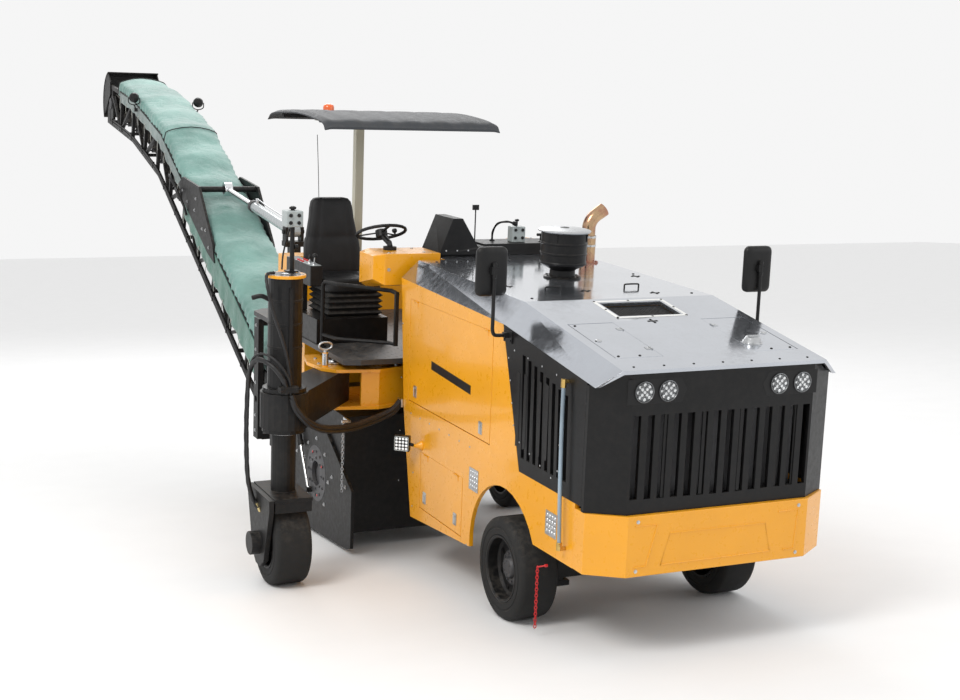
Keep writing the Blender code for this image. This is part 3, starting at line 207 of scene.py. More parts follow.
def leathery(name, colour, roughness=0.5, grain=420.0):
    """Vinyl with a pebbled grain."""
    made, tree, shader = new_material(name, colour, roughness)
    shader.inputs["Specular IOR Level"].default_value = 0.3
    place = add(tree, "ShaderNodeTexCoord")
    cells = add(tree, "ShaderNodeTexVoronoi", Scale=grain, feature="DISTANCE_TO_EDGE")
    tree.links.new(place.outputs["Object"], cells.inputs["Vector"])
    broad = cloud(tree, 7.0)
    tone = mixed(tree, ranged(tree, broad.outputs["Fac"], 0, 1), colour,
                 tuple(c * 1.7 + 0.004 for c in colour))
    tree.links.new(tone, shader.inputs["Base Color"])
    bumped(tree, shader, ranged(tree, cells.outputs["Distance"], 0, 1, 0.0, 0.12), 0.0004, 0.6)
    return made


def clear(name, colour, roughness=0.03):
    made, tree, shader = new_material(name, colour, roughness)
    shader.inputs["Transmission Weight"].default_value = 1.0
    shader.inputs["IOR"].default_value = 1.45
    streaks = cloud(tree, 60.0)
    tree.links.new(ranged(tree, streaks.outputs["Fac"], roughness, roughness + 0.06),
                   shader.inputs["Roughness"])
    return made


def heated_steel(name):
    """Exhaust steel, coloured by heat in soft bands."""
    made, tree, shader = new_material(name, (0.45, 0.27, 0.17), 0.22, 1.0)
    bands = cloud(tree, 9.0, 3.0)
    first = mixed(tree, ranged(tree, bands.outputs["Fac"], 0, 1, 0.35, 0.6), (0.50, 0.34, 0.20),
                  (0.38, 0.17, 0.13))
    tree.links.new(first, shader.inputs["Base Color"])
    smears = cloud(tree, 60.0)
    tree.links.new(ranged(tree, smears.outputs["Fac"], 0.14, 0.34), shader.inputs["Roughness"])
    return made


YELLOW = worn("paint_yellow", (0.80, 0.345, 0.006), 0.30, vary=0.035, grain=240.0, depth=0.00015, dust=0.12,
              coat=0.35)
BLACK = worn("paint_black", (0.0045, 0.0045, 0.005), 0.36, vary=0.35, grain=260.0, depth=0.0003, dust=0.12,
             specular=0.28)
FRAME_BLACK = worn("frame_black", (0.006, 0.006, 0.0065), 0.46, vary=0.4, grain=180.0, depth=0.0005,
                   dust=0.22, specular=0.28)
HOOD = worn("hood_grey", (0.50, 0.525, 0.57), 0.12, metallic=0.92, vary=0.05, grain=500.0, depth=0.00006,
            dust=0.08, coat=0.6)
RUBBER = worn("tyre_rubber", (0.014, 0.014, 0.014), 0.78, vary=0.3, grain=150.0, depth=0.0010, dust=0.18,
              specular=0.3)
HOSE = worn("hose_rubber", (0.009, 0.009, 0.010), 0.45, vary=0.3, grain=300.0, depth=0.0004, dust=0.10,
            specular=0.4)
BELT = worn("belt_rubber", (0.02, 0.02, 0.02), 0.8, vary=0.4, grain=90.0, depth=0.001, dust=0.6)
PLASTIC = worn("moulded_plastic", (0.007, 0.007, 0.0075), 0.40, vary=0.2, grain=700.0, depth=0.0003,
               dust=0.08, specular=0.3)
STEEL = worn("zinc_steel", (0.55, 0.56, 0.57), 0.30, metallic=1.0, vary=0.12, grain=120.0, depth=0.0002)
CHROME = worn("hard_chrome", (0.78, 0.79, 0.80), 0.08, metallic=1.0, vary=0.03, grain=400.0, depth=0.00004)
IRON = worn("cast_iron", (0.10, 0.10, 0.105), 0.55, metallic=0.7, vary=0.3, grain=90.0, depth=0.0012,
            dust=0.3)
WORN_STEEL = worn("worn_steel", (0.28, 0.25, 0.22), 0.42, metallic=0.9, vary=0.3, grain=60.0, depth=0.001)
CARBIDE = worn("carbide", (0.5, 0.5, 0.52), 0.35, metallic=1.0, vary=0.1)
BRASS = worn("brass", (0.62, 0.42, 0.14), 0.28, metallic=1.0, vary=0.1)
GOLD_ZINC = worn("yellow_zinc", (0.62, 0.50, 0.24), 0.32, metallic=0.9, vary=0.25)
EXHAUST = heated_steel("heated_steel")
BOX_GREY = worn("box_grey", (0.36, 0.40, 0.40), 0.38, vary=0.06, grain=600.0, depth=0.0002, dust=0.1)
CYLINDER = worn("cylinder_grey", (0.30, 0.33, 0.34), 0.25, vary=0.05, coat=0.5)
POST_CREAM = worn("post_cream", (0.50, 0.48, 0.38), 0.35, vary=0.10, grain=60.0, depth=0.0003, dust=0.2)
LAMP_BOWL = worn("lamp_bowl", (0.16, 0.165, 0.17), 0.25, metallic=0.9, vary=0.1)
CANOPY = worn("canopy_grey", (0.030, 0.034, 0.040), 0.60, vary=0.15, grain=420.0, depth=0.0006, dust=0.12)
TREAD = worn("tread_plate", (0.07, 0.07, 0.072), 0.5, metallic=0.6, vary=0.3, grain=120.0, depth=0.0006,
             dust=0.5)
RED = worn("red_paint", (0.55, 0.01, 0.012), 0.4, vary=0.1)
ORANGE_LENS = worn("orange_lens", (0.85, 0.13, 0.01), 0.15, vary=0.1, coat=0.7)
WHITE = worn("white_paint", (0.72, 0.72, 0.70), 0.5, vary=0.06)
TARP = tarpaulin("tarpaulin_green", (0.15, 0.30, 0.265))
TARP_DARK = tarpaulin("tarpaulin_skirt", (0.055, 0.17, 0.13))
TARP_GREY = tarpaulin("tarpaulin_grey", (0.15, 0.20, 0.19))
VINYL = leathery("seat_vinyl", (0.006, 0.006, 0.0065))
LENS = clear("lamp_lens", (0.96, 0.97, 0.98))
GLOW = worn("lamp_cell", (0.85, 0.86, 0.86), 0.12, metallic=0.8, vary=0.1)
MIRROR = worn("mirror_glass", (0.86, 0.88, 0.9), 0.03, metallic=1.0, vary=0.01, depth=0.00001)
ROPE = worn("rope_fibre", (0.42, 0.42, 0.38), 0.85, vary=0.2, grain=900.0, depth=0.0008)
SIGHT = worn("sight_tube", (0.23, 0.30, 0.36), 0.12, vary=0.25, coat=0.5)

NODE_MATERIALS = {YELLOW: ("side_panel_right", "side_panel_left", "engine_door_right", "engine_door_left",
                           "service_door_right", "service_door_left", "front_bumper", "rear_cowl",
                           "steering_console", "rear_cabinet", "left_tank", "rear_box_right",
                           "swing_bracket"),
                  BLACK: ("side_grille_right", "side_grille_left", "radiator_grille", "seat_plinth",
                          "handrail_right", "handrail_left", "leg_sleeve_right", "leg_sleeve_left"),
                  FRAME_BLACK: ("chassis_frame", "front_axle", "drum_housing", "edge_plate_right",
                                "swing_arm", "leg_fork_right", "leg_fork_left", "conveyor_frame",
                                "conveyor_end_guard", "conveyor_slew_frame"),
                  HOOD: ("engine_hood", "hood_lid_right", "hood_lid_left"),
                  IRON: ("engine_block", "steering_knuckle_right", "steering_knuckle_left"),
                  PLASTIC: ("armrest_console", "instrument_console", "steering_wheel"),
                  CYLINDER: ("lift_cylinder_barrel",), CHROME: ("lift_cylinder_rod",),
                  RUBBER: ("seat_bellows",), BELT: ("conveyor_belt",), TREAD: ("platform_deck",),
                  POST_CREAM: ("canopy_post",),}


def dress_cad():
    """Give each CAD node that stays its material and softly broken edges."""
    rounding = {"engine_hood": 0.004, "front_bumper": 0.006, "radiator_grille": 0.004,
                "steering_console": 0.005, "seat_plinth": 0.004, "instrument_console": 0.005,
                "armrest_console": 0.008}
    for made, nodes in NODE_MATERIALS.items():
        for node in nodes:
            obj = frame["nodes"][node]
            obj.data.materials.clear()
            obj.data.materials.append(made)
            weld = obj.modifiers.new("weld", "WELD")
            weld.merge_threshold = 0.00002
            edge = obj.modifiers.new("edges", "BEVEL")
            edge.width = rounding.get(node, 0.0022)
            edge.segments = 2
            edge.limit_method = "ANGLE"
            edge.angle_limit = math.radians(38)
            edge.harden_normals = True
            edge.use_clamp_overlap = True


# ---------------------------------------------------------------- making pieces
class Piece:
    """A mesh in the making, in the machine's own frame."""

    def __init__(self):
        self.shape = bmesh.new()

    def place(self, start, axis):
        """The matrix that stands something along an axis at a point."""
        return Matrix.Translation(start) @ Vector(axis).to_track_quat("Z", "Y").to_matrix().to_4x4()

    def box(self, low, high, spin=None):
        low, high = Vector(low), Vector(high)
        size = Matrix.Diagonal((*(high - low), 1.0))
        where = Matrix.Translation((low + high) / 2)
        turn = spin.to_4x4() if spin is not None else Matrix.Identity(4)
        bmesh.ops.create_cube(self.shape, size=1.0, matrix=where @ turn @ size)
        return self

    def rod(self, start, end, radius, sides=16, end_radius=None):
        start, end = Vector(start), Vector(end)
        if (end - start).length < 1e-6:
            return self
        bmesh.ops.create_cone(self.shape, cap_ends=True, segments=sides, radius1=radius,
                              radius2=radius if end_radius is None else end_radius,
                              depth=(end - start).length, matrix=self.place((start + end) / 2, end - start))
        return self

    def bolt(self, where, axis, radius=0.009, high=0.006, washer=True):
        """A hexagon bolt head on its washer."""
        where, axis = Vector(where), Vector(axis).normalized()
        if washer:
            self.rod(where - axis * 0.002, where + axis * 0.0018, radius * 1.45, 14)
        self.rod(where, where + axis * high, radius, 6)
        return self

    def dome(self, where, axis, radius=0.010, high=0.005):
        """A low round screw head."""
        return self.lathe(where, axis,
                          [(radius, -0.001), (radius, high * 0.35), (radius * 0.75, high * 0.8), (0, high)],
                          10)

    def lathe(self, centre, axis, profile, steps=32, start=0.0, sweep=2 * math.pi):
        """A profile of (radius, height) turned about axis; its ends on the axis are closed."""
        where = self.place(centre, axis)
        closed = abs(sweep - 2 * math.pi) < 1e-6
        count = steps if closed else steps + 1
        rings = []
        for radius, height in profile:
            if radius < 1e-6:
                rings.append([self.shape.verts.new(where @ Vector((0, 0, height)))])
                continue
            turn = [start + sweep * k / steps for k in range(count)]
            rings.append([self.shape.verts.new(where @ Vector((radius * math.cos(a), radius * math.sin(a),
                                                               height))) for a in turn])
        for first, second in zip(rings, rings[1:]):
            for k in range(steps):
                n = (k + 1) % count
                corners = [first[k % len(first)], first[n % len(first)], second[n % len(second)],
                           second[k % len(second)]]
                unique = list(dict.fromkeys(corners))
                if len(unique) > 2:
                    self.shape.faces.new(unique)
        return self

    def strip(self, rings, closed=True, caps=True):
        """Faces between like rings of points."""
        made = [[self.shape.verts.new(point) for point in ring] for ring in rings]
        for first, second in zip(made, made[1:]):
            count = len(first)
            for k in range(count if closed else count - 1):
                n = (k + 1) % count
                self.shape.faces.new((first[k], first[n], second[n], second[k]))
        if caps:
            self.shape.faces.new(made[0])
            self.shape.faces.new(made[-1])
        return self

    def tube(self, points, radius, sides=10, closed=False):
        """A round bar or hose; radius is a number or a function of the share of its length."""
        points = [Vector(point) for point in points]
        count = len(points)
        rings = []
        up = Vector((0.03, 0.02, 1.0))
        for k, point in enumerate(points):
            before = points[(k - 1) % count] if closed or k else point
            after = points[(k + 1) % count] if closed or k + 1 < count else point
            way = (after - before).normalized()
            side = way.cross(up)
            if side.length < 1e-3:
                side = way.cross(Vector((1, 0, 0)))
            side.normalize()
            up = side.cross(way).normalized()
            size = radius(k / (count - 1)) if callable(radius) else radius
            rings.append([point + (side * math.cos(a) + up * math.sin(a)) * size
                          for a in [2 * math.pi * n / sides for n in range(sides)]])
        if closed:
            rings.append(rings[0])
        return self.strip(rings, caps=not closed)

    def slab(self, outline, plane, near, far):
        """A flat plate from a convex or simple outline, in plane XY, YZ or XZ between two levels."""
        order = {"XY": lambda u, v, w: (u, v, w), "YZ": lambda u, v, w: (w, u, v),
                 "XZ": lambda u, v, w: (u, w, v)}[plane]
        rings = [[order(u, v, level) for u, v in outline] for level in (near, far)]
        return self.strip(rings)

    def done(self, name, made, body, bevel=0.0, smooth=38):
        """Finish the piece: normals, edges, material, and the body it rides on."""
        bmesh.ops.remove_doubles(self.shape, verts=self.shape.verts, dist=0.00002)
        bmesh.ops.recalc_face_normals(self.shape, faces=self.shape.faces)
        mesh = bpy.data.meshes.new(name)
        self.shape.to_mesh(mesh)
        self.shape.free()
        mesh.shade_smooth()
        mesh.set_sharp_from_angle(angle=math.radians(smooth))
        mesh.materials.append(made)
        mesh.transform(LEVEL)
        obj = bpy.data.objects.new(name, mesh)
        bpy.context.scene.collection.objects.link(obj)
        if bevel:
            edge = obj.modifiers.new("edges", "BEVEL")
            edge.width = bevel
            edge.segments = 2
            edge.limit_method = "ANGLE"
            edge.angle_limit = math.radians(38)
            edge.harden_normals = True
        if body:
            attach(obj, body)
        return obj


def smooth_path(points, per=8):
    """A smooth curve through given points."""
    points = [Vector(point) for point in points]
    ends = [points[0] * 2 - points[1]] + points + [points[-1] * 2 - points[-2]]
    made = []
    for k in range(1, len(ends) - 2):
        a, b, c, d = ends[k - 1:k + 3]
        for n in range(per):
            t = n / per
            made.append(0.5 * ((2 * b) + (c - a) * t + (2 * a - 5 * b + 4 * c - d) * t * t
                               + (3 * b - a - 3 * c + d) * t ** 3))
    made.append(points[-1])
    return made


def ribbed(radius, rib, ribs):
    """A hose's radius along its length, with spiral guard ribs."""
    return lambda share: radius + rib * (0.5 + 0.5 * math.cos(share * ribs * 2 * math.pi))


def rounded(y0, y1, z0, z1, radius, steps=5):
    """Outline of a rectangle with round corners."""
    outline = []
    for cy, cz, start in ((y1 - radius, z1 - radius, 0), (y0 + radius, z1 - radius, 90),
                          (y0 + radius, z0 + radius, 180), (y1 - radius, z0 + radius, 270)):
        for k in range(steps + 1):
            a = math.radians(start + 90 * k / steps)
            outline.append((cy + radius * math.cos(a), cz + radius * math.sin(a)))
    return outline


def between(table, y):
    """Height read from a table of (y, z), straight between its entries."""
    for (y0, z0), (y1, z1) in zip(table, table[1:]):
        if y <= y1 or (y1, z1) == table[-1]:
            return z0 + (z1 - z0) * (y - y0) / (y1 - y0)


# ---------------------------------------------------------------- the machine's sizes
BODY_HALF = 0.833
RIM = [(-1.020, 1.713), (0.149, 1.873), (1.872, 1.928)]
TOP = [(-1.090, 1.816), (0.149, 2.016), (2.45, 2.064)]
CONV_X, CONV_HALF, TRUSS_D = -0.70, 0.30, 0.50
CHORD = [(4.52, 0.18), (8.75, 2.11), (10.05, 2.41), (11.50, 2.575)]
DECK_TOP = 1.330
LEG_X, LEG_Y = -1.83, 1.50


def on_hood(x, y, lift=0.0):
    """A point on the hood's top, with its slope's normal."""
    z = between(TOP, y)
    slope = (between(TOP, y + 0.02) - between(TOP, y - 0.02)) / 0.04
    up = Vector((0, -slope, 1)).normalized()
    return Vector((x, y, z)) + up * lift, up


# ---------------------------------------------------------------- wheels
def wheel(name, node, joint, radius, outward, body):
    """A solid tyre on a dished rim with its bolted hub."""
    half = 0.128
    centre = joint_place(joint)
    axis = (outward, 0, 0)
    rim = radius - 0.115
    side = [(rim, half - 0.006), (rim + 0.006, half - 0.001), (rim + 0.020, half), (rim + 0.040, half),
            (rim + 0.044, half - 0.004), (rim + 0.052, half - 0.004), (rim + 0.056, half),
            (radius - 0.030, half - 0.002), (radius - 0.012, half - 0.010), (radius - 0.003, half - 0.022),
            (radius, half - 0.036)]
    profile = side + [(radius, 0.03), (radius, -0.03)] + [(r, -h) for r, h in side[::-1]] + [side[0]]
    tyre = Piece().lathe(centre, axis, profile, 84).done(name + "_tyre", RUBBER, body, smooth=30)
    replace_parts(tyre, node)
    dish = [(rim - 0.001, half - 0.002), (rim - 0.012, half - 0.001), (rim - 0.020, half - 0.010),
            (rim - 0.024, 0.052), (rim - 0.040, 0.036), (0.150, 0.030), (0.118, 0.034), (0.112, 0.026),
            (0, 0.026)]
    shape = Piece().lathe(centre, axis, dish, 64)
    shape.lathe(centre, axis,
                [(rim - 0.001, -half + 0.002), (rim - 0.014, -half + 0.004), (rim - 0.022, -0.02),
                 (0.10, -0.008), (0, -0.008)], 48)
    for k in range(8):
        a = 2 * math.pi * (k + 0.5) / 8
        spot = centre + Vector((outward * 0.033, math.cos(a) * 0.165, math.sin(a) * 0.165))
        shape.rod(spot, spot + Vector((outward * 0.006, 0, 0)), 0.017, 18)
    shape.done(name + "_rim", FRAME_BLACK, body, smooth=30)
    hub = Piece().lathe(centre, axis,
                        [(0.113, 0.020), (0.113, 0.046), (0.105, 0.052), (0.072, 0.054), (0.066, 0.070),
                         (0.058, 0.078), (0.020, 0.080), (0, 0.080)], 48)
    for k in range(10):
        a = 2 * math.pi * k / 10
        hub.bolt(centre + Vector((outward * 0.050, math.cos(a) * 0.089, math.sin(a) * 0.089)), axis, 0.0085,
                 0.011)
    for k in range(6):
        a = 2 * math.pi * (k + 0.4) / 6
        hub.bolt(centre + Vector((outward * 0.078, math.cos(a) * 0.040, math.sin(a) * 0.040)), axis, 0.005,
                 0.004, False)
    hub.done(name + "_hub", IRON, body, bevel=0.0012)


def wheels():
    for word, outward in (("right", -1), ("left", 1)):
        wheel("front_" + word, "front_wheel_" + word, "front_wheel_spin_" + word, 0.33, outward,
              "wheel_front_" + word)
        wheel("rear_" + word, "rear_wheel_" + word, "rear_wheel_spin_" + word, 0.305, outward,
              "wheel_rear_" + word)


# ---------------------------------------------------------------- drum
def drum():
    """Cutting drum: tool holders on opposed spirals, each with its carbide-tipped pick."""
    centre = Vector((-0.575, 2.82, 0.215))
    shell = 0.355
    body = Piece().lathe(centre, (1, 0, 0),
                         [(0, 0.529), (0.079, 0.529), (0.079, 0.482), (0.085, 0.478), (0.20, 0.478),
                          (0.205, 0.470), (0.30, 0.470), (0.305, 0.478), (shell, 0.478), (shell, -0.478),
                          (0.305, -0.478), (0.300, -0.470), (0.205, -0.470), (0.20, -0.478), (0.085, -0.478),
                          (0.079, -0.482), (0.079, -0.524), (0, -0.524)], 64)
    for side in (1, -1):
        for k in range(8):
            a = 2 * math.pi * k / 8
            spot = centre + Vector((side * 0.478, math.cos(a) * 0.14, math.sin(a) * 0.14))
            body.bolt(spot, (side, 0, 0), 0.012, 0.010)
    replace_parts(body.done("drum_shell", WORN_STEEL, "drum", smooth=30), "milling_drum")
    holders, picks, tips = Piece(), Piece(), Piece()
    count = 64
    for k in range(count):
        share = (k + 0.5) / count
        x = centre.x - 0.462 + 0.924 * share
        turn = math.radians(62 * k) if share < 0.5 else -math.radians(62 * k) + 1.2
        out = Vector((0, math.cos(turn), math.sin(turn)))
        way = Vector((0, -math.sin(turn), math.cos(turn)))
        foot = Vector((x, centre.y, centre.z)) + out * (shell - 0.006)
        tip = (out * 0.74 + way * 0.67).normalized()
        base = foot + out * 0.022 - way * 0.020
        turn_to = Matrix((Vector((1, 0, 0)), way, out)).transposed()
        holders.box(foot - Vector((0.017, 0.028, 0.004)), foot + Vector((0.017, 0.028, 0.034)), turn_to)
        holders.rod(base, base + tip * 0.040, 0.018, 12, 0.015)
        picks.rod(base + tip * 0.040, base + tip * 0.046, 0.015, 12)
        picks.rod(base + tip * 0.046, base + tip * 0.068, 0.011, 12, 0.0055)
        tips.rod(base + tip * 0.068, base + tip * 0.078, 0.0055, 8, 0.0015)
    holders.done("drum_holders", IRON, "drum")
    picks.done("drum_picks", WORN_STEEL, "drum")
    tips.done("drum_tips", CARBIDE, "drum")


# ---------------------------------------------------------------- hood, top side
def hood_fittings():
    grate = Piece()
    y0, y1, x0, x1 = -0.19, 0.07, -0.21, 0.24
    for k in range(24):
        x = x0 + (x1 - x0) * (k + 0.5) / 24
        grate.tube([on_hood(x, y0 + (y1 - y0) * t, -0.008 + 0.0012 * (-1) ** (k + n))[0]
                    for n, t in enumerate([m / 13 for m in range(14)])], 0.0012, 4)
    for k in range(14):
        y = y0 + (y1 - y0) * (k + 0.5) / 14
        grate.tube([on_hood(x0 + (x1 - x0) * t, y, -0.008 - 0.0012 * (-1) ** (k + n))[0]
                    for n, t in enumerate([m / 23 for m in range(24)])], 0.0012, 4)
    grate.done("hood_grate", PLASTIC, "chassis")
    under = Piece()
    under.strip([[on_hood(x, y, -0.040)[0] for x, y in ((x0, y0), (x1, y0), (x1, y1), (x0, y1))],
                 [on_hood(x, y, -0.030)[0] for x, y in ((x0, y0), (x1, y0), (x1, y1), (x0, y1))]])
    under.done("hood_grate_backing", PLASTIC, "chassis")
    frame_strip = Piece()
    for (ax, ay), (bx, by) in (((-0.235, -0.215), (0.265, -0.215)), ((0.265, -0.215), (0.265, 0.095)),
                               ((0.265, 0.095), (-0.235, 0.095)), ((-0.235, 0.095), (-0.235, -0.215))):
        wide = 0.011
        if abs(ay - by) < 1e-6:
            corners = [(ax, ay - wide), (bx, ay - wide), (bx, ay + wide), (ax, ay + wide)]
        else:
            corners = [(ax - wide, ay), (ax + wide, ay), (ax + wide, by), (ax - wide, by)]
        frame_strip.strip([[on_hood(x, y, lift)[0] for x, y in corners] for lift in (-0.0004, 0.0022)])
    frame_strip.done("hood_grate_frame", WHITE, "chassis")
    screws = Piece()
    for x, y in ((-0.235, -0.215), (0.015, -0.215), (0.265, -0.215), (0.265, -0.06), (0.265, 0.095),
                 (0.015, 0.095), (-0.235, 0.095), (-0.235, -0.06)):
        spot, up = on_hood(x, y, 0.002)
        screws.dome(spot, up, 0.008, 0.004)
    for x in (-0.60, -0.40, -0.20, 0.0, 0.20, 0.40, 0.60):
        spot, up = on_hood(x, 1.78)
        screws.dome(spot, up, 0.010, 0.005)
        spot, up = on_hood(x, -1.035)
        screws.dome(spot, up, 0.008, 0.004)
    for x, y in ((-0.60, 0.25), (0.60, 0.25), (-0.62, 1.05), (0.62, 1.05)):
        spot, up = on_hood(x, y)
        screws.dome(spot, up, 0.010, 0.005)
    screws.done("hood_screws", PLASTIC, "chassis")
    for word, side in (("right", -1), ("left", 1)):
        corners = Piece()
        for x, y in ((0.60, -0.33), (0.60, -0.86), (0.60, -0.60), (0.46, -0.865)):
            spot, up = on_hood(side * x, y)
            corners.dome(spot, up, 0.009, 0.005)
        corners.done("lid_screws_" + word, PLASTIC, "hood_lid_" + word)
    for word, side in (("right", -1), ("left", 1)):
        hinge = Piece()
        for y in (-0.42, -0.76):
            for x, wide in ((side * 0.303, 0.018), (side * 0.340, 0.018)):
                rings = [[on_hood(x + dx, y + dy, lift)[0]
                          for dx, dy in ((-wide, -0.020), (wide, -0.020), (wide, 0.020), (-wide, 0.020))]
                         for lift in (-0.0003, 0.0025)]
                if (x - side * 0.32) * side > 0:
                    hinge.strip(rings)
        barrels = Piece()
        for y in (-0.42, -0.76):
            low, high = (on_hood(side * 0.324, y + dy, 0.004)[0] for dy in (-0.021, 0.021))
            barrels.rod(low, high, 0.0042, 12)
            spot, up = on_hood(side * 0.343, y, 0.0022)
            hinge.dome(spot, up, 0.005, 0.0025)
        hinge.done("lid_hinges_" + word, STEEL, "hood_lid_" + word)
        barrels.done("lid_barrels_" + word, STEEL, "chassis")
        latch = Piece()
        spot, up = on_hood(side * 0.585, -0.60)
        latch.lathe(spot, up,
                    [(0.020, -0.0005), (0.020, 0.003), (0.016, 0.005), (0.007, 0.0052), (0.006, 0.003),
                     (0, 0.003)], 24)
        latch.done("lid_lock_" + word, STEEL, "hood_lid_" + word)
    cross = Piece()
    for x, y in ((-0.035, -0.30), (-0.10, 0.45), (0.343, 0.30), (0.58, 0.95), (-0.55, 0.70)):
        for a, b in (((-0.036, -0.006), (0.036, 0.006)), ((-0.006, -0.036), (0.006, 0.036))):
            corners = ((x + a[0], y + a[1]), (x + b[0], y + a[1]), (x + b[0], y + b[1]), (x + a[0], y + b[1]))
            cross.strip([[on_hood(u, v, lift)[0] for u, v in corners] for lift in (-0.0004, 0.0022)])
        for dx, dy in ((-0.027, 0), (0.027, 0), (0, -0.027), (0, 0.027)):
            spot, up = on_hood(x + dx, y + dy, 0.0018)
            cross.dome(spot, up, 0.0055, 0.0028)
    cross.done("hood_tie_plates", PLASTIC, "chassis")
    handle = Piece()
    for x, y in ((0.28, 0.50), (-0.33, 0.48)):
        ends = [on_hood(x - 0.055, y, -0.001)[0], on_hood(x - 0.055, y, 0.018)[0],
                on_hood(x - 0.045, y, 0.027)[0], on_hood(x + 0.045, y, 0.027)[0],
                on_hood(x + 0.055, y, 0.018)[0], on_hood(x + 0.055, y, -0.001)[0]]
        handle.tube(smooth_path(ends, 5), 0.0055, 12)
    handle.done("hood_handles", PLASTIC, "chassis")
    cap = Piece()
    spot, up = on_hood(0.405, -0.744)
    cap.lathe(spot, up,
              [(0.062, -0.001), (0.062, 0.004), (0.054, 0.006), (0.050, 0.016), (0.046, 0.030),
               (0.040, 0.034), (0, 0.034)], 40)
    cap.box(spot + up * 0.034 - Vector((0.034, 0.006, 0)), spot + up * 0.034 + Vector((0.034, 0.006, 0.012)))
    for k in range(6):
        a = math.pi * k / 3
        cap.bolt(spot + up * 0.004 + Vector((math.cos(a) * 0.057, math.sin(a) * 0.057, 0)), up, 0.004, 0.003,
                 False)
    cap.done("filler_cap", STEEL, "hood_lid_left", bevel=0.001)


def air_cleaner():
    foot, up = on_hood(0.01, 0.99)
    body = Piece().lathe(foot, up,
                         [(0.130, 0.0005), (0.130, 0.010), (0.126, 0.012), (0.091, 0.013), (0.088, 0.055),
                          (0.100, 0.066), (0.150, 0.090), (0.162, 0.100), (0.164, 0.112), (0.160, 0.118),
                          (0.160, 0.165), (0.1645, 0.170), (0.1645, 0.178), (0.160, 0.183), (0.160, 0.235),
                          (0.1645, 0.240), (0.1645, 0.248), (0.160, 0.253), (0.160, 0.322), (0, 0.322)], 64)
    for k in range(8):
        a = 2 * math.pi * k / 8
        side = Vector((math.cos(a), math.sin(a), 0))
        side = (side - up * side.dot(up)).normalized()
        body.bolt(foot + up * 0.012 + side * 0.112, up, 0.008, 0.007)
    for k in range(4):
        a = math.radians(45 + 90 * k)
        side = Vector((math.cos(a), math.sin(a), 0))
        side = (side - up * side.dot(up)).normalized()
        body.rod(foot + up * 0.26 + side * 0.158, foot + up * 0.312 + side * 0.1645, 0.006, 10)
    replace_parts(body.done("air_cleaner_body", BLACK, "chassis", smooth=30), "air_cleaner")
    lid = Piece().lathe(foot, up,
                        [(0.158, 0.320), (0.178, 0.322), (0.1845, 0.329), (0.1845, 0.333), (0.178, 0.338),
                         (0.150, 0.343), (0.060, 0.347), (0.040, 0.349), (0, 0.349)], 64)
    lid.done("air_cleaner_lid", STEEL, "chassis", smooth=30)
    knob = Piece().lathe(foot, up, [(0.032, 0.348), (0.032, 0.351), (0.020, 0.353), (0, 0.3545)], 24)
    knob.done("air_cleaner_knob", PLASTIC, "chassis", smooth=30)


def exhaust():
    foot, up = on_hood(0.555, 1.62)
    lower = Piece().lathe(foot, up,
                          [(0.085, 0.0005), (0.085, 0.009), (0.060, 0.011), (0.0575, 0.014), (0.0575, 0.150),
                           (0.0578, 0.200), (0.0535, 0.203), (0.0535, 0.190), (0, 0.190)], 48)
    for k in range(4):
        a = math.radians(45 + 90 * k)
        lower.bolt(foot + up * 0.010 + Vector((math.cos(a) * 0.071, math.sin(a) * 0.071, 0)), up, 0.007,
                   0.006)
    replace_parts(lower.done("exhaust_base", EXHAUST, "chassis", smooth=30), "exhaust_pipe")
    ring = Piece()
    for level in (0.120, 0.185):
        ring.lathe(foot, up,
                   [(0.0570, level), (0.0600, level + 0.001), (0.0600, level + 0.016),
                    (0.0570, level + 0.017)], 48)
        ring.box(foot + up * (level + 0.001) + Vector((-0.010, -0.078, 0)),
                 foot + up * (level + 0.001) + Vector((0.010, -0.057, 0.015)))
        ring.rod(foot + up * (level + 0.009) + Vector((-0.016, -0.070, 0)),
                 foot + up * (level + 0.009) + Vector((0.016, -0.070, 0)), 0.004, 10)
    ring.done("exhaust_clamps", STEEL, "chassis", bevel=0.0008)
    line = [foot + up * 0.19]
    for k in range(17):
        a = math.radians(52) * k / 16
        line.append(foot + up * (0.255 + 0.13 * math.sin(a)) + Vector((0.1625 * (1 - math.cos(a)), 0, 0)))
    line.append(line[-1] + (line[-1] - line[-2]).normalized() * 0.068)
    outer, inner = [], []
    for k, point in enumerate(line):
        before, after = line[max(0, k - 1)], line[min(len(line) - 1, k + 1)]
        way = (after - before).normalized()
        side = Vector((0, 1, 0))
        other = way.cross(side).normalized()
        share = k / (len(line) - 1)
        radius = 0.0505 + (0.002 if share > 0.97 else 0.0)
        for ring_points, size in ((outer, radius), (inner, radius - 0.0035)):
            ring_points.append([point + (side * math.cos(a) + other * math.sin(a)) * size
                                for a in [2 * math.pi * n / 40 for n in range(40)]])
    Piece().strip(outer + inner[::-1][:14], caps=True).done("exhaust_elbow", EXHAUST, "chassis", smooth=40)


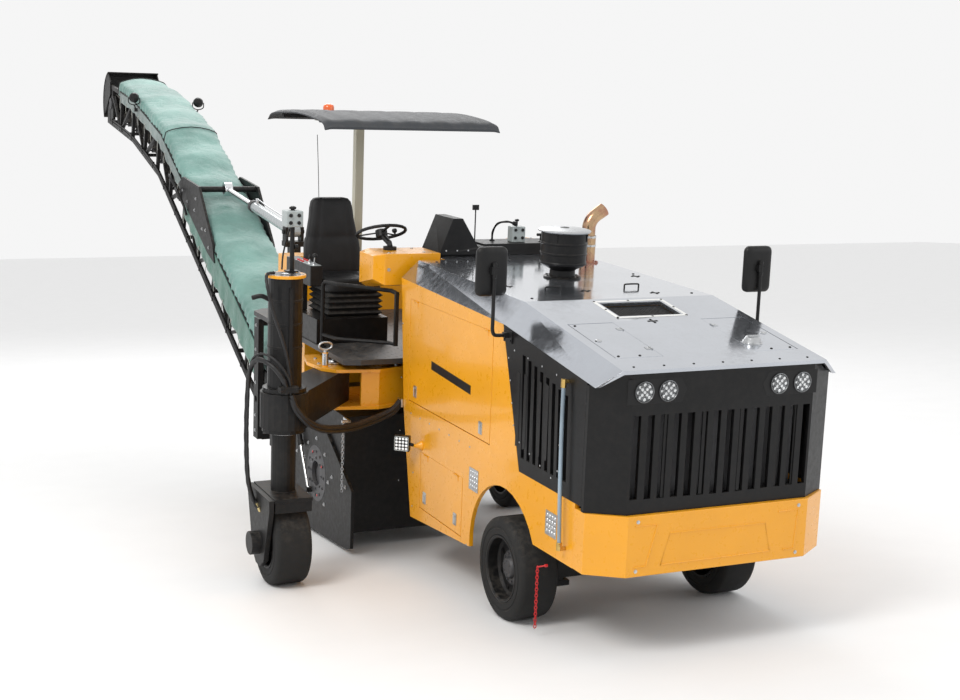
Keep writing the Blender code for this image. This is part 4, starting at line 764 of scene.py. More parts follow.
def mirror(word, side, y, body="chassis"):
    z = between(RIM, y) - 0.045
    x = side * (BODY_HALF + 0.12)
    wall = side * (BODY_HALF + 0.0003)
    arm = Piece()
    arm.box((min(wall, wall + side * 0.008), y - 0.068, z - 0.048),
            (max(wall, wall + side * 0.008), y + 0.048, z + 0.028))
    arm.box((min(wall, wall + side * 0.038), y - 0.030, z - 0.016),
            (max(wall, wall + side * 0.038), y + 0.010, z + 0.016))
    for dy, dz in ((-0.052, -0.032), (0.032, -0.032), (-0.052, 0.012), (0.032, 0.012)):
        arm.bolt((wall + side * 0.008, y + dy, z + dz), (side, 0, 0), 0.006, 0.005)
    arm.tube(smooth_path([(wall + side * 0.018, y - 0.01, z), (x - side * 0.05, y - 0.018, z),
                          (x - side * 0.014, y - 0.02, z + 0.006), (x - side * 0.001, y - 0.02, z + 0.035),
                          (x, y - 0.02, z + 0.09), (x, y - 0.02, z + 0.25), (x, y - 0.02, z + 0.455)], 8),
             0.0118, 16)
    arm.lathe((x, y - 0.02, z + 0.36), (0, 0, 1),
              [(0.0118, 0), (0.0155, 0.002), (0.0155, 0.088), (0.0118, 0.090)], 20)
    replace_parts(arm.done("mirror_arm_" + word, PLASTIC, body, bevel=0.0012), "mirror_" + word)
    low, high = z + 0.242, z + 0.548
    rings = []
    for grow, level in ((-0.040, -0.003), (-0.022, 0.0), (-0.008, 0.006), (0.0, 0.018), (0.0, 0.038),
                        (-0.004, 0.044), (-0.012, 0.044), (-0.013, 0.040)):
        rings.append([(x + u, y + level, v)
                      for u, v in rounded(-0.104 - grow, 0.104 + grow, low - grow, high + grow, 0.036)])
    shell = Piece().strip(rings)
    shell.box((x - 0.024, y - 0.033, z + 0.382), (x + 0.024, y + 0.006, z + 0.428))
    shell.done("mirror_shell_" + word, PLASTIC, body, smooth=50)
    glass = Piece().slab([(x + u, v) for u, v in rounded(-0.090, 0.090, low + 0.014, high - 0.014, 0.028)],
                         "XZ", y + 0.0395, y + 0.0425)
    glass.done("mirror_glass_" + word, MIRROR, body)


# ---------------------------------------------------------------- body panels
def round_lamp(shape, glass, cells, where, axis, radius):
    """A round work lamp: bowl with its rim, nine cells and a clear face."""
    shape.lathe(where, axis,
                [(radius * 0.90, -0.004), (radius, -0.002), (radius, 0.006), (radius * 0.93, 0.008),
                 (radius * 0.88, 0.0045), (radius * 0.86, 0.001), (0, 0.001)], 40)
    turn = Vector(axis).to_track_quat("Z", "Y").to_matrix()
    for k in range(13):
        out = 0 if k == 12 else radius * (0.36 if k > 7 else 0.68)
        a = 2 * math.pi * (k / 8 if k < 8 else (k + 0.5) / 4)
        spot = Vector(where) + turn @ Vector((math.cos(a) * out, math.sin(a) * out, 0.0015))
        cells.lathe(spot, axis,
                    [(radius * 0.145, -0.0008), (radius * 0.145, 0.0006), (radius * 0.08, 0.0012),
                     (0, 0.0022)], 14)
    glass.lathe(where, axis,
                [(radius * 0.87, 0.0030), (radius * 0.80, 0.0058), (radius * 0.45, 0.0068), (0, 0.0072)], 32)


def latch(shape, x, side, y, z, wide=0.055, tall=0.085):
    """A recessed paddle latch in its silver frame, on a side panel."""
    face = side * x
    ring = [[(face + side * level, y + u, z + v)
             for u, v in rounded(-wide / 2 - grow, wide / 2 + grow, -tall / 2 - grow, tall / 2 + grow, 0.008)]
            for grow, level in ((0.0, -0.0005), (0.0, 0.0030), (-0.003, 0.0042), (-0.006, 0.0042),
                                (-0.008, 0.0015))]
    shape.strip(ring)
    shape.box((min(face, face + side * 0.0052), y - wide * 0.26, z - tall * 0.34),
              (max(face, face + side * 0.0052), y + wide * 0.26, z + tall * 0.10))
    shape.lathe((face + side * 0.0012, y, z + tall * 0.27), (side, 0, 0),
                [(0.0085, 0), (0.0085, 0.0035), (0.0055, 0.0045), (0, 0.0045)], 16)


def step_plate(shape, side, y, z):
    """A perforated anti-slip step plate."""
    face = side * (BODY_HALF + 0.0003)
    wide, tall = 0.070, 0.075
    shape.box((min(face, face + side * 0.003), y - wide, z - tall),
              (max(face, face + side * 0.003), y + wide, z + tall))
    for k in range(4):
        for n in range(4):
            spot = (face + side * 0.003, y - 0.048 + 0.032 * k, z - 0.048 + 0.032 * n)
            shape.lathe(spot, (side, 0, 0),
                        [(0.0125, -0.0004), (0.0095, 0.0040), (0.0075, 0.0040), (0.0068, 0.0002),
                         (0, 0.0002)], 14)


def front_details():
    steel, glass, cells = Piece(), Piece(), Piece()
    axis = (0, -1, 0.0)
    for x in (-0.552, -0.394, 0.372, 0.537):
        round_lamp(steel, glass, cells, (x, -1.0885, 1.688), axis, 0.062)
    steel.done("headlamp_bowls", LAMP_BOWL, "chassis")
    bezel = Piece()
    for outline in (((-0.66, 1.618), (-0.30, 1.618), (-0.27, 1.69), (-0.31, 1.762), (-0.66, 1.762)),
                    ((0.645, 1.618), (0.285, 1.618), (0.255, 1.69), (0.295, 1.762), (0.645, 1.762))):
        bezel.slab(outline, "XZ", -1.0865, -1.0845)
    bezel.done("headlamp_bezels", PLASTIC, "chassis", bevel=0.0008)
    cells.done("headlamp_cells", GLOW, "chassis")
    glass.done("headlamp_glass", LENS, "chassis")
    slats = Piece()
    for k in range(9):
        x = -0.52 + 1.04 * k / 8
        slats.box((x - 0.012, -1.078, 1.055), (x + 0.012, -1.068, 1.565))
    slats.done("grille_bars", BLACK, "chassis", bevel=0.002)
    emboss = Piece()
    shapes = (([(-0.340, 0.850), (0.323, 0.847), (0.368, 0.668), (-0.394, 0.664)], True),
              ([(-0.577, 0.912), (-0.431, 0.910), (-0.493, 0.667), (-0.577, 0.665)], False),
              ([(0.414, 0.908), (0.557, 0.909), (0.542, 0.669), (0.463, 0.668)], False))
    for outline, whole in shapes:
        emboss.tube([(x, -1.1140, z) for x, z in outline], 0.0055, 8, closed=whole)
    emboss.done("bumper_swage", YELLOW, "chassis")
    bolts = Piece()
    for x in (-0.56, 0.56):
        for z in (0.64, 0.935):
            bolts.bolt((x, -1.1150, z), axis, 0.008, 0.005)
    bolts.done("bumper_bolts", STEEL, "chassis")


def side_details():
    for word, side in (("right", -1), ("left", 1)):
        for body, spots in (("engine_door_" + word, ((1.557, 1.148), (0.449, 1.140))),
                            ("service_door_" + word, ((1.33, 0.42), (0.80, 0.42)))):
            shape = Piece()
            for y, z in spots:
                latch(shape, BODY_HALF + 0.0003, side, y, z)
            shape.done("latches_" + body, STEEL, body)
            hinges, barrels = Piece(), Piece()
            box_low, box_high = own_box(body)
            for y in (box_low.y + 0.10, box_high.y - 0.10):
                z = box_high.z - 0.004
                out = side * (BODY_HALF + 0.003)
                barrels.rod((out, y - 0.035, z), (out, y + 0.035, z), 0.0055, 12)
                hinges.box((min(side * BODY_HALF, side * (BODY_HALF + 0.0028)), y - 0.033, z - 0.034),
                           (max(side * BODY_HALF, side * (BODY_HALF + 0.0028)), y + 0.033, z - 0.003))
            hinges.done("hinges_" + body, YELLOW, body)
            barrels.done("barrels_" + body, YELLOW, "chassis")
        plates = Piece()
        for y, z in ((0.520, 0.770), (-0.579, 0.790)):
            step_plate(plates, side, y, z)
        plates.done("step_plates_" + word, STEEL, "chassis", bevel=0.0008)
        trim = Piece()
        face = side * (BODY_HALF + 0.0003)
        for y in [0.60 + 0.17 * k for k in range(7)]:
            trim.dome((face, y, 0.975), (side, 0, 0), 0.007, 0.004)
        for y, z in ((1.82, 0.42), (1.82, 0.80), (1.82, 1.20), (1.82, 1.60), (0.60, 0.30), (1.55, 0.30),
                     (1.55, 0.55)):
            trim.dome((face, y, z), (side, 0, 0), 0.007, 0.004)
        trim.done("panel_screws_" + word, STEEL, "chassis")
        label = Piece()
        face = side * (BODY_HALF + 0.0003)
        label.strip([[(face + side * level, y, z)
                      for y, z in ((0.62, 1.325), (1.28, 1.365), (1.28, 1.425), (0.62, 1.385))]
                     for level in (-0.0003, 0.0012)])
        label.done("name_plate_" + word, PLASTIC, "engine_door_" + word)
        slots = Piece()
        for k in range(5):
            y = -0.46 + 0.095 * k
            base = side * (BODY_HALF + 0.0006)
            slots.strip([[(base + side * level, y + u, z)
                          for u, z in ((-0.020, 1.16), (0.020, 1.145), (0.026, 1.62), (-0.014, 1.61))]
                         for level in (-0.002, 0.0010)])
        slots.done("side_grille_slots_" + word, PLASTIC, "chassis")
        rivets = Piece()
        corners = [(0.095, 1.745), (-0.045, 1.200), (-0.620, 1.050), (-0.655, 1.690)]
        for (ay, az), (by, bz) in zip(corners, corners[1:] + corners[:1]):
            for n in range(4):
                t = (n + 0.5) / 4
                rivets.dome((side * (BODY_HALF + 0.0006), ay + (by - ay) * t, az + (bz - az) * t),
                            (side, 0, 0), 0.006, 0.003)
        rivets.done("side_grille_rivets_" + word, STEEL, "chassis")
    lamp, glass, cells = Piece(), Piece(), Piece()
    middle = Vector((-0.945, 1.500, 0.790))
    face = Vector((-0.62, -0.78, 0.0)).normalized()
    across = face.cross(Vector((0, 0, 1))).normalized()
    turn = Matrix((across, Vector((0, 0, 1)), face)).transposed()
    lamp.box(middle - Vector((0.056, 0.056, 0.024)), middle + Vector((0.056, 0.056, 0.024)), turn)
    lamp.box(middle - face * 0.030 - Vector((0.040, 0.040, 0.010)),
             middle - face * 0.030 + Vector((0.040, 0.040, 0.010)), turn)
    lamp.rod((-0.888, 1.430, 0.787), middle - face * 0.030, 0.012, 14)
    lamp.done("side_lamp_case", PLASTIC, "chassis", bevel=0.005)
    for n in range(4):
        for m in range(4):
            spot = middle + face * 0.0242 + across * (0.024 * n - 0.036) + Vector((0, 0, 0.024 * m - 0.036))
            cells.lathe(spot, face, [(0.0095, -0.001), (0.0095, 0.0008), (0, 0.0025)], 12)
    cells.done("side_lamp_cells", GLOW, "chassis")
    rim = [middle + face * 0.0245 + across * u + Vector((0, 0, v))
           for u, v in rounded(-0.050, 0.050, -0.050, 0.050, 0.008)]
    glass.tube(rim, 0.0028, 6, closed=True)
    glass.done("side_lamp_rim", BOX_GREY, "chassis")
    cone = Piece().lathe((-0.8333, 1.411, 0.786), (-1, 0, 0),
                         [(0.034, 0), (0.034, 0.006), (0.022, 0.020), (0.014, 0.040), (0.012, 0.055),
                          (0, 0.055)], 28)
    cone.done("side_lamp_mount", YELLOW, "chassis")
    tube_line = smooth_path([(-0.868, -0.715, 1.672), (-0.872, -0.725, 1.40), (-0.874, -0.742, 1.05),
                             (-0.874, -0.764, 0.724)], 10)
    Piece().tube(tube_line, 0.0125, 16).done("water_hose", SIGHT, "chassis")
    brass = Piece()
    brass.rod((-0.835, -0.715, 1.690), (-0.872, -0.715, 1.690), 0.012, 14)
    brass.rod((-0.868, -0.715, 1.655), (-0.868, -0.715, 1.706), 0.0165, 6)
    brass.rod((-0.874, -0.764, 0.690), (-0.874, -0.764, 0.740), 0.0165, 6)
    brass.rod((-0.835, -0.764, 0.700), (-0.876, -0.764, 0.700), 0.012, 14)
    brass.box((-0.884, -0.792, 0.722), (-0.879, -0.745, 0.732))
    brass.done("water_hose_valves", BRASS, "chassis", bevel=0.001)
    chain = Piece()
    chain.rod((-0.8333, -0.557, 0.527), (-0.850, -0.557, 0.527), 0.009, 12)
    chain.tube([(-0.847, -0.557, 0.527), (-0.852, -0.470, 0.492)], 0.0048, 8)
    for k in range(20):
        spot = Vector((-0.852, -0.468, 0.484 - 0.0195 * k))
        wide = Vector((1, 0, 0)) if k % 2 else Vector((0, 1, 0))
        loop = [spot + Vector((0, 0, 1)) * math.cos(t) * 0.0135 + wide * math.sin(t) * 0.0085
                for t in [2 * math.pi * n / 12 for n in range(12)]]
        chain.tube(loop, 0.0028, 6, closed=True)
    chain.done("safety_chain", RED, "chassis")


# ---------------------------------------------------------------- operator's place
def deck_pattern():
    """Raised lozenges of the tread plate."""
    studs = Piece()
    low, high = own_box("platform_deck")
    y = 1.93
    row = 0
    while y < high.y - 0.36:
        x = low.x + 0.06 + (0.045 if row % 2 else 0)
        while x < high.x - 0.04:
            inside_cowl = -0.50 < x < 0.70 and y < 2.46
            inside_seat = x < -0.65 and 2.52 < y < 3.47
            near_leg = (x - 0.80) ** 2 + (y - 3.20) ** 2 < 0.03
            near_corner = x < -1.10 and y < 2.02
            if not (inside_cowl or inside_seat or near_leg or near_corner):
                a = math.radians(45 if (row + int(x * 100)) % 2 else -45)
                d, w = (math.cos(a) * 0.013, math.sin(a) * 0.013), (-math.sin(a) * 0.0035,
                                                                    math.cos(a) * 0.0035)
                corners = [(x + d[0], y + d[1]), (x + w[0], y + w[1]), (x - d[0], y - d[1]),
                           (x - w[0], y - w[1])]
                studs.strip([[(u, v, DECK_TOP - 0.0004) for u, v in corners],
                             [(x + (u - x) * 0.8, y + (v - y) * 0.8, DECK_TOP + 0.0016) for u, v in corners]])
            x += 0.09
        y += 0.045
        row += 1
    studs.done("deck_studs", TREAD, "chassis")


def superoval(x, y, z, half_x, half_y, power=4.0, count=40):
    ring = []
    for k in range(count):
        a = 2 * math.pi * (k + 0.5) / count
        c, s = math.cos(a), math.sin(a)
        ring.append((x + half_x * math.copysign(abs(c) ** (2 / power), c),
                     y + half_y * math.copysign(abs(s) ** (2 / power), s), z))
    return ring


def seat():
    """Suspension seat: crowned cushion with side bolsters, tall tapering back with sewn panels."""
    x, z0 = -0.90, own_box("seat")[0].z
    cushion = Piece()
    rings = []
    for up, grow in ((0.0, -0.030), (0.006, -0.012), (0.022, -0.003), (0.060, 0.0), (0.088, -0.003),
                     (0.104, -0.016), (0.112, -0.040)):
        rings.append(superoval(x, 2.87, z0 + up, 0.238 + grow, 0.248 + grow, 5.0))
    cushion.strip(rings, caps=False)
    last = rings[-1]
    cushion.shape.faces.new([v for v in list(cushion.shape.verts)[:40]])
    top_ring = list(cushion.shape.verts)[-40:]
    for shrink, up in ((0.80, -0.002), (0.62, -0.006), (0.55, -0.011), (0.50, -0.007), (0.30, -0.004)):
        inner = [cushion.shape.verts.new((x + (v[0] - x) * shrink, 2.87 + (v[1] - 2.87) * shrink,
                                          z0 + 0.112 + up)) for v in last]
        for k in range(40):
            n = (k + 1) % 40
            cushion.shape.faces.new((top_ring[k], top_ring[n], inner[n], inner[k]))
        top_ring = inner
    cushion.shape.faces.new(top_ring)
    pad = cushion.done("seat_cushion", VINYL, "chassis", smooth=60)
    back = Piece()
    sections = []
    for up, half, lean, thick in ((0.035, 0.200, 0.0, 0.045), (0.050, 0.216, 0.002, 0.060),
                                  (0.12, 0.230, 0.012, 0.064), (0.20, 0.234, 0.022, 0.064),
                                  (0.30, 0.231, 0.036, 0.062), (0.355, 0.222, 0.042, 0.060),
                                  (0.372, 0.212, 0.044, 0.054), (0.388, 0.210, 0.046, 0.058),
                                  (0.44, 0.200, 0.052, 0.060), (0.52, 0.184, 0.063, 0.060),
                                  (0.60, 0.176, 0.074, 0.058), (0.65, 0.164, 0.081, 0.052),
                                  (0.675, 0.142, 0.085, 0.040), (0.683, 0.110, 0.087, 0.022)):
        ring = []
        count = 48
        for k in range(count):
            a = 2 * math.pi * k / count
            c, s = math.cos(a), math.sin(a)
            u = half * math.copysign(abs(c) ** 0.45, c)
            v = thick * math.copysign(abs(s) ** 0.55, s)
            if s < 0:
                share = abs(u) / half
                seam = math.exp(-((share - 0.62) / 0.05) ** 2)
                v += 0.012 * seam + 0.006 * math.cos(share * math.pi) * 0.5
                v += 0.004 * math.exp(-(share / 0.04) ** 2)
            ring.append((x + u, 3.168 + lean + v, z0 + up))
        sections.append(ring)
    back.strip(sections)
    rest = back.done("seat_back", VINYL, "chassis", smooth=70)
    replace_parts(rest, "seat")
    base = Piece().slab(rounded(x - 0.20, x + 0.20, 2.68, 3.06, 0.02), "XY", z0 + 0.0002, z0 + 0.012)
    for side in (-1, 1):
        base.box((x + side * 0.205 - 0.012, 2.70, z0 + 0.004), (x + side * 0.205 + 0.012, 3.02, z0 + 0.030))
        base.rod((x + side * 0.218, 3.10, z0 + 0.045), (x + side * 0.232, 3.10, z0 + 0.045), 0.030, 24)
    base.done("seat_pan", PLASTIC, "chassis", bevel=0.002)
    piping = Piece()
    loop = [Vector(p) + Vector((0, 0, 0.0)) for p in superoval(x, 2.87, z0 + 0.094, 0.2365, 0.2465, 5.0, 64)]
    piping.tube(loop, 0.0028, 6, closed=True)
    piping.done("seat_piping", PLASTIC, "chassis")


def lever(shape, grip, foot, top, ball=0.016):
    shape.rod(foot, top, 0.005, 10)
    way = (Vector(top) - Vector(foot)).normalized()
    grip.lathe(top, way,
               [(0.006, -0.016), (ball * 0.7, -0.010), (ball, 0.0), (ball * 0.85, 0.010),
                (ball * 0.45, 0.016), (0, 0.018)], 20)
    shape.lathe(foot, (0, 0, 1),
                [(0.020, 0), (0.017, 0.006), (0.019, 0.009), (0.012, 0.016), (0.007, 0.022), (0, 0.022)], 18)


def controls():
    rods, grips = Piece(), Piece()
    top = own_box("armrest_console")[1].z
    lever(rods, grips, (-1.20, 2.755, top), (-1.20, 2.735, top + 0.075), 0.020)
    lever(rods, grips, (-1.20, 2.86, top), (-1.20, 2.855, top + 0.050), 0.011)
    rods.done("lever_rods", STEEL, "chassis")
    grips.done("lever_balls", PLASTIC, "chassis")
    knobs = Piece()
    for k in range(3):
        for n in range(2):
            knobs.lathe((-1.225 + 0.05 * n, 2.95 + 0.055 * k, top), (0, 0, 1),
                        [(0.012, 0), (0.011, 0.007), (0.0095, 0.012), (0, 0.0125)], 16)
    knobs.done("console_switches", RED, "chassis")
    panel = Piece().slab(rounded(-1.238, -1.155, 2.705, 3.10, 0.012), "XY", top - 0.0004, top + 0.0014)
    panel.done("console_panel", BOX_GREY, "chassis")
    centre = Vector((-0.80, 2.38, 2.20))
    tilt = Vector((0, 0.42, 1)).normalized()
    boss = Piece().lathe(centre, tilt, [(0.0455, 0.010), (0.044, 0.0165), (0.036, 0.021), (0.0, 0.023)], 36)
    boss.lathe(centre, tilt, [(0.024, 0.018), (0.024, 0.0245), (0.019, 0.026), (0, 0.026)], 28)
    boss.done("wheel_boss", PLASTIC, "chassis", smooth=30)
    knob_spot = centre + Vector((0.15, 0.0, 0)) + tilt * 0.012 + tilt.cross(Vector((1, 0, 0))) * 0.10
    spinner = Piece().lathe(knob_spot, tilt,
                            [(0.008, -0.006), (0.008, 0.010), (0.018, 0.018), (0.021, 0.030), (0.016, 0.042),
                             (0, 0.047)], 20)
    spinner.done("wheel_spinner", PLASTIC, "chassis")
    box_bolts = Piece()
    for x in (-0.90, -0.72, -0.56):
        box_bolts.bolt((x, 1.960, 1.975), (0, -1, 0), 0.009, 0.006)
    for x, y in ((-0.88, 2.02), (-0.60, 2.02), (-0.60, 2.26)):
        box_bolts.bolt((x, y, 2.090), (0, 0, 1), 0.009, 0.006)
    box_bolts.done("steering_box_bolts", STEEL, "chassis")


def dash():
    y0 = 2.02
    base = between(TOP, y0) + 0.012
    panel = Piece()
    outline = [(-0.425, base + 0.03), (-0.085, base + 0.03), (-0.165, base + 0.05), (-0.285, base + 0.235),
               (-0.355, base + 0.235)]
    panel.slab(outline, "XZ", 2.3595, 2.3625)
    panel.done("dash_panel", BOX_GREY, "chassis")
    dials = Piece()
    for x, z in ((-0.33, 0.20), (-0.33, 0.14), (-0.27, 0.11), (-0.36, 0.08), (-0.30, 0.065), (-0.22, 0.07)):
        dials.lathe((x, 2.3625, base + z), (0, 1, 0),
                    [(0.017, -0.0005), (0.017, 0.004), (0.013, 0.005), (0.012, 0.003), (0, 0.003)], 24)
    dials.done("dash_dials", PLASTIC, "chassis")
    hood = Piece()
    for x in (-0.42, -0.33, -0.24, -0.15):
        hood.dome((x, 2.0195, base + 0.03), (0, -1, 0), 0.006, 0.003)
    hood.done("dash_screws", STEEL, "chassis")
    box = Piece().box((0.165, 2.10, base + 0.075), (0.275, 2.19, base + 0.195))
    box.rod((0.22, 2.145, base + 0.195), (0.22, 2.145, base + 0.235), 0.008, 12)
    box.done("remote_box", BOX_GREY, "chassis", bevel=0.006)
    caps = Piece()
    for x, z in ((0.19, 0.17), (0.25, 0.17), (0.19, 0.11), (0.25, 0.11)):
        caps.lathe((x, 2.0995, base + z), (0, -1, 0),
                   [(0.012, 0), (0.012, 0.006), (0.009, 0.010), (0, 0.010)], 18)
    for x, w in ((0.22, 0.028),):
        caps.lathe((x, 2.145, base + 0.232), (0, 0, 1),
                   [(0.010, 0), (w * 0.6, 0.004), (w * 0.6, 0.014), (0.008, 0.018), (0, 0.018)], 18)
    caps.done("remote_knobs", PLASTIC, "chassis")
    neck = smooth_path([(0.05, 2.22, base + 0.072), (0.045, 2.20, base + 0.15), (0.06, 2.15, base + 0.215),
                        (0.11, 2.10, base + 0.235), (0.16, 2.09, base + 0.225)], 10)
    goose = Piece().tube(neck, ribbed(0.0075, 0.0016, 44), 10)
    goose.lathe((0.05, 2.22, base + 0.074), (0, 0, 1),
                [(0.022, 0), (0.022, 0.006), (0.012, 0.014), (0, 0.014)], 20)
    goose.rod(neck[-1], neck[-1] + Vector((0.030, -0.003, -0.008)), 0.015, 16, 0.020)
    goose.done("gooseneck_lamp", PLASTIC, "chassis")
    tee = Piece()
    tee.rod((0.42, 2.12, base + 0.072), (0.42, 2.12, base + 0.125), 0.009, 12)
    tee.rod((0.385, 2.12, base + 0.130), (0.455, 2.12, base + 0.130), 0.011, 14)
    tee.lathe((0.42, 2.12, base + 0.073), (0, 0, 1), [(0.024, 0), (0.024, 0.005), (0.014, 0.010), (0, 0.010)],
              20)
    tee.done("dash_tee_knob", PLASTIC, "chassis", bevel=0.002)
    stand = Piece()
    stand.rod((-0.06, 2.30, base + 0.07), (-0.06, 2.30, base + 0.31), 0.005, 10)
    stand.box((-0.085, 2.290, base + 0.305), (-0.035, 2.310, base + 0.345))
    stand.done("sensor_stand", PLASTIC, "chassis", bevel=0.002)


def canopy():
    """Moulded roof: lipped sheet with crosswise ribs."""
    line = [(2.335, 2.957), (2.42, 3.006), (2.75, 3.037), (3.05, 3.047), (3.35, 3.037), (3.62, 3.017),
            (3.735, 2.969)]
    smooth = smooth_path([(0, y, z) for y, z in line], 8)
    x0, x1 = -1.278, 0.138
    roof = Piece()
    rings = []
    count = 72
    for k in range(count + 1):
        share = k / count
        x = x0 + (x1 - x0) * share
        edge = min(share, 1 - share) * (x1 - x0)
        drop = 0.020 * math.exp(-(edge / 0.030) ** 2)
        rib = 0.5 + 0.5 * math.cos(share * 2 * math.pi * 6)
        lift = 0.006 * min(1.0, max(0.0, (rib - 0.25) * 2.5))
        upper, under = [], []
        for n, point in enumerate(smooth):
            along_line = n / (len(smooth) - 1)
            fade = min(1.0, 10 * min(along_line, 1 - along_line))
            upper.append((x, point.y, point.z + 0.026 + lift * fade - drop))
            under.append((x, point.y, point.z + 0.008 + lift * fade * 0.5 - drop * 0.4))
        rings.append(upper + under[::-1])
    roof.strip(rings)
    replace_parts(roof.done("canopy_shell", CANOPY, "chassis", smooth=32), "canopy_roof")
    rails = Piece()
    for y in (2.62, 3.52):
        rails.box((-1.22, y - 0.022, 3.0 + 0.0003), (0.08, y + 0.022, 3.0 + 0.030))
    rails.box((-0.915, 3.365, 3.0003), (-0.225, 3.615, 3.006))
    for x in (-0.86, -0.28):
        for y in (3.40, 3.58):
            rails.bolt((x, y, 3.0003), (0, 0, -1), 0.010, 0.008)
    rails.box((-0.62, 2.60, 3.002), (-0.52, 3.40, 3.026))
    rails.done("canopy_bearers", FRAME_BLACK, "chassis", bevel=0.002)
    beacon = Piece().lathe((-0.86, 3.45, 3.030), (0, 0, 1),
                           [(0.052, 0), (0.052, 0.020), (0.045, 0.026), (0, 0.026)], 40)
    beacon.done("beacon_base", PLASTIC, "chassis")
    dome = Piece().lathe((-0.86, 3.45, 3.056), (0, 0, 1),
                         [(0.045, -0.002), (0.045, 0.030), (0.041, 0.046), (0.030, 0.056), (0.0, 0.061)], 40)
    dome.done("beacon_lens", ORANGE_LENS, "chassis")
    aerial = Piece()
    aerial.tube(smooth_path([(-0.87, 3.60, 1.92), (-0.875, 3.60, 2.25), (-0.885, 3.60, 2.55),
                             (-0.90, 3.60, 2.86)], 8), 0.003, 8)
    aerial.lathe((-0.87, 3.60, 1.83), (0, 0, 1),
                 [(0.020, -0.02), (0.020, 0.02), (0.012, 0.04), (0.007, 0.085), (0.003, 0.10), (0, 0.10)], 20)
    aerial.box((-0.885, 3.585, 1.32), (-0.855, 3.615, 1.82))
    aerial.done("radio_aerial", PLASTIC, "chassis", bevel=0.002)


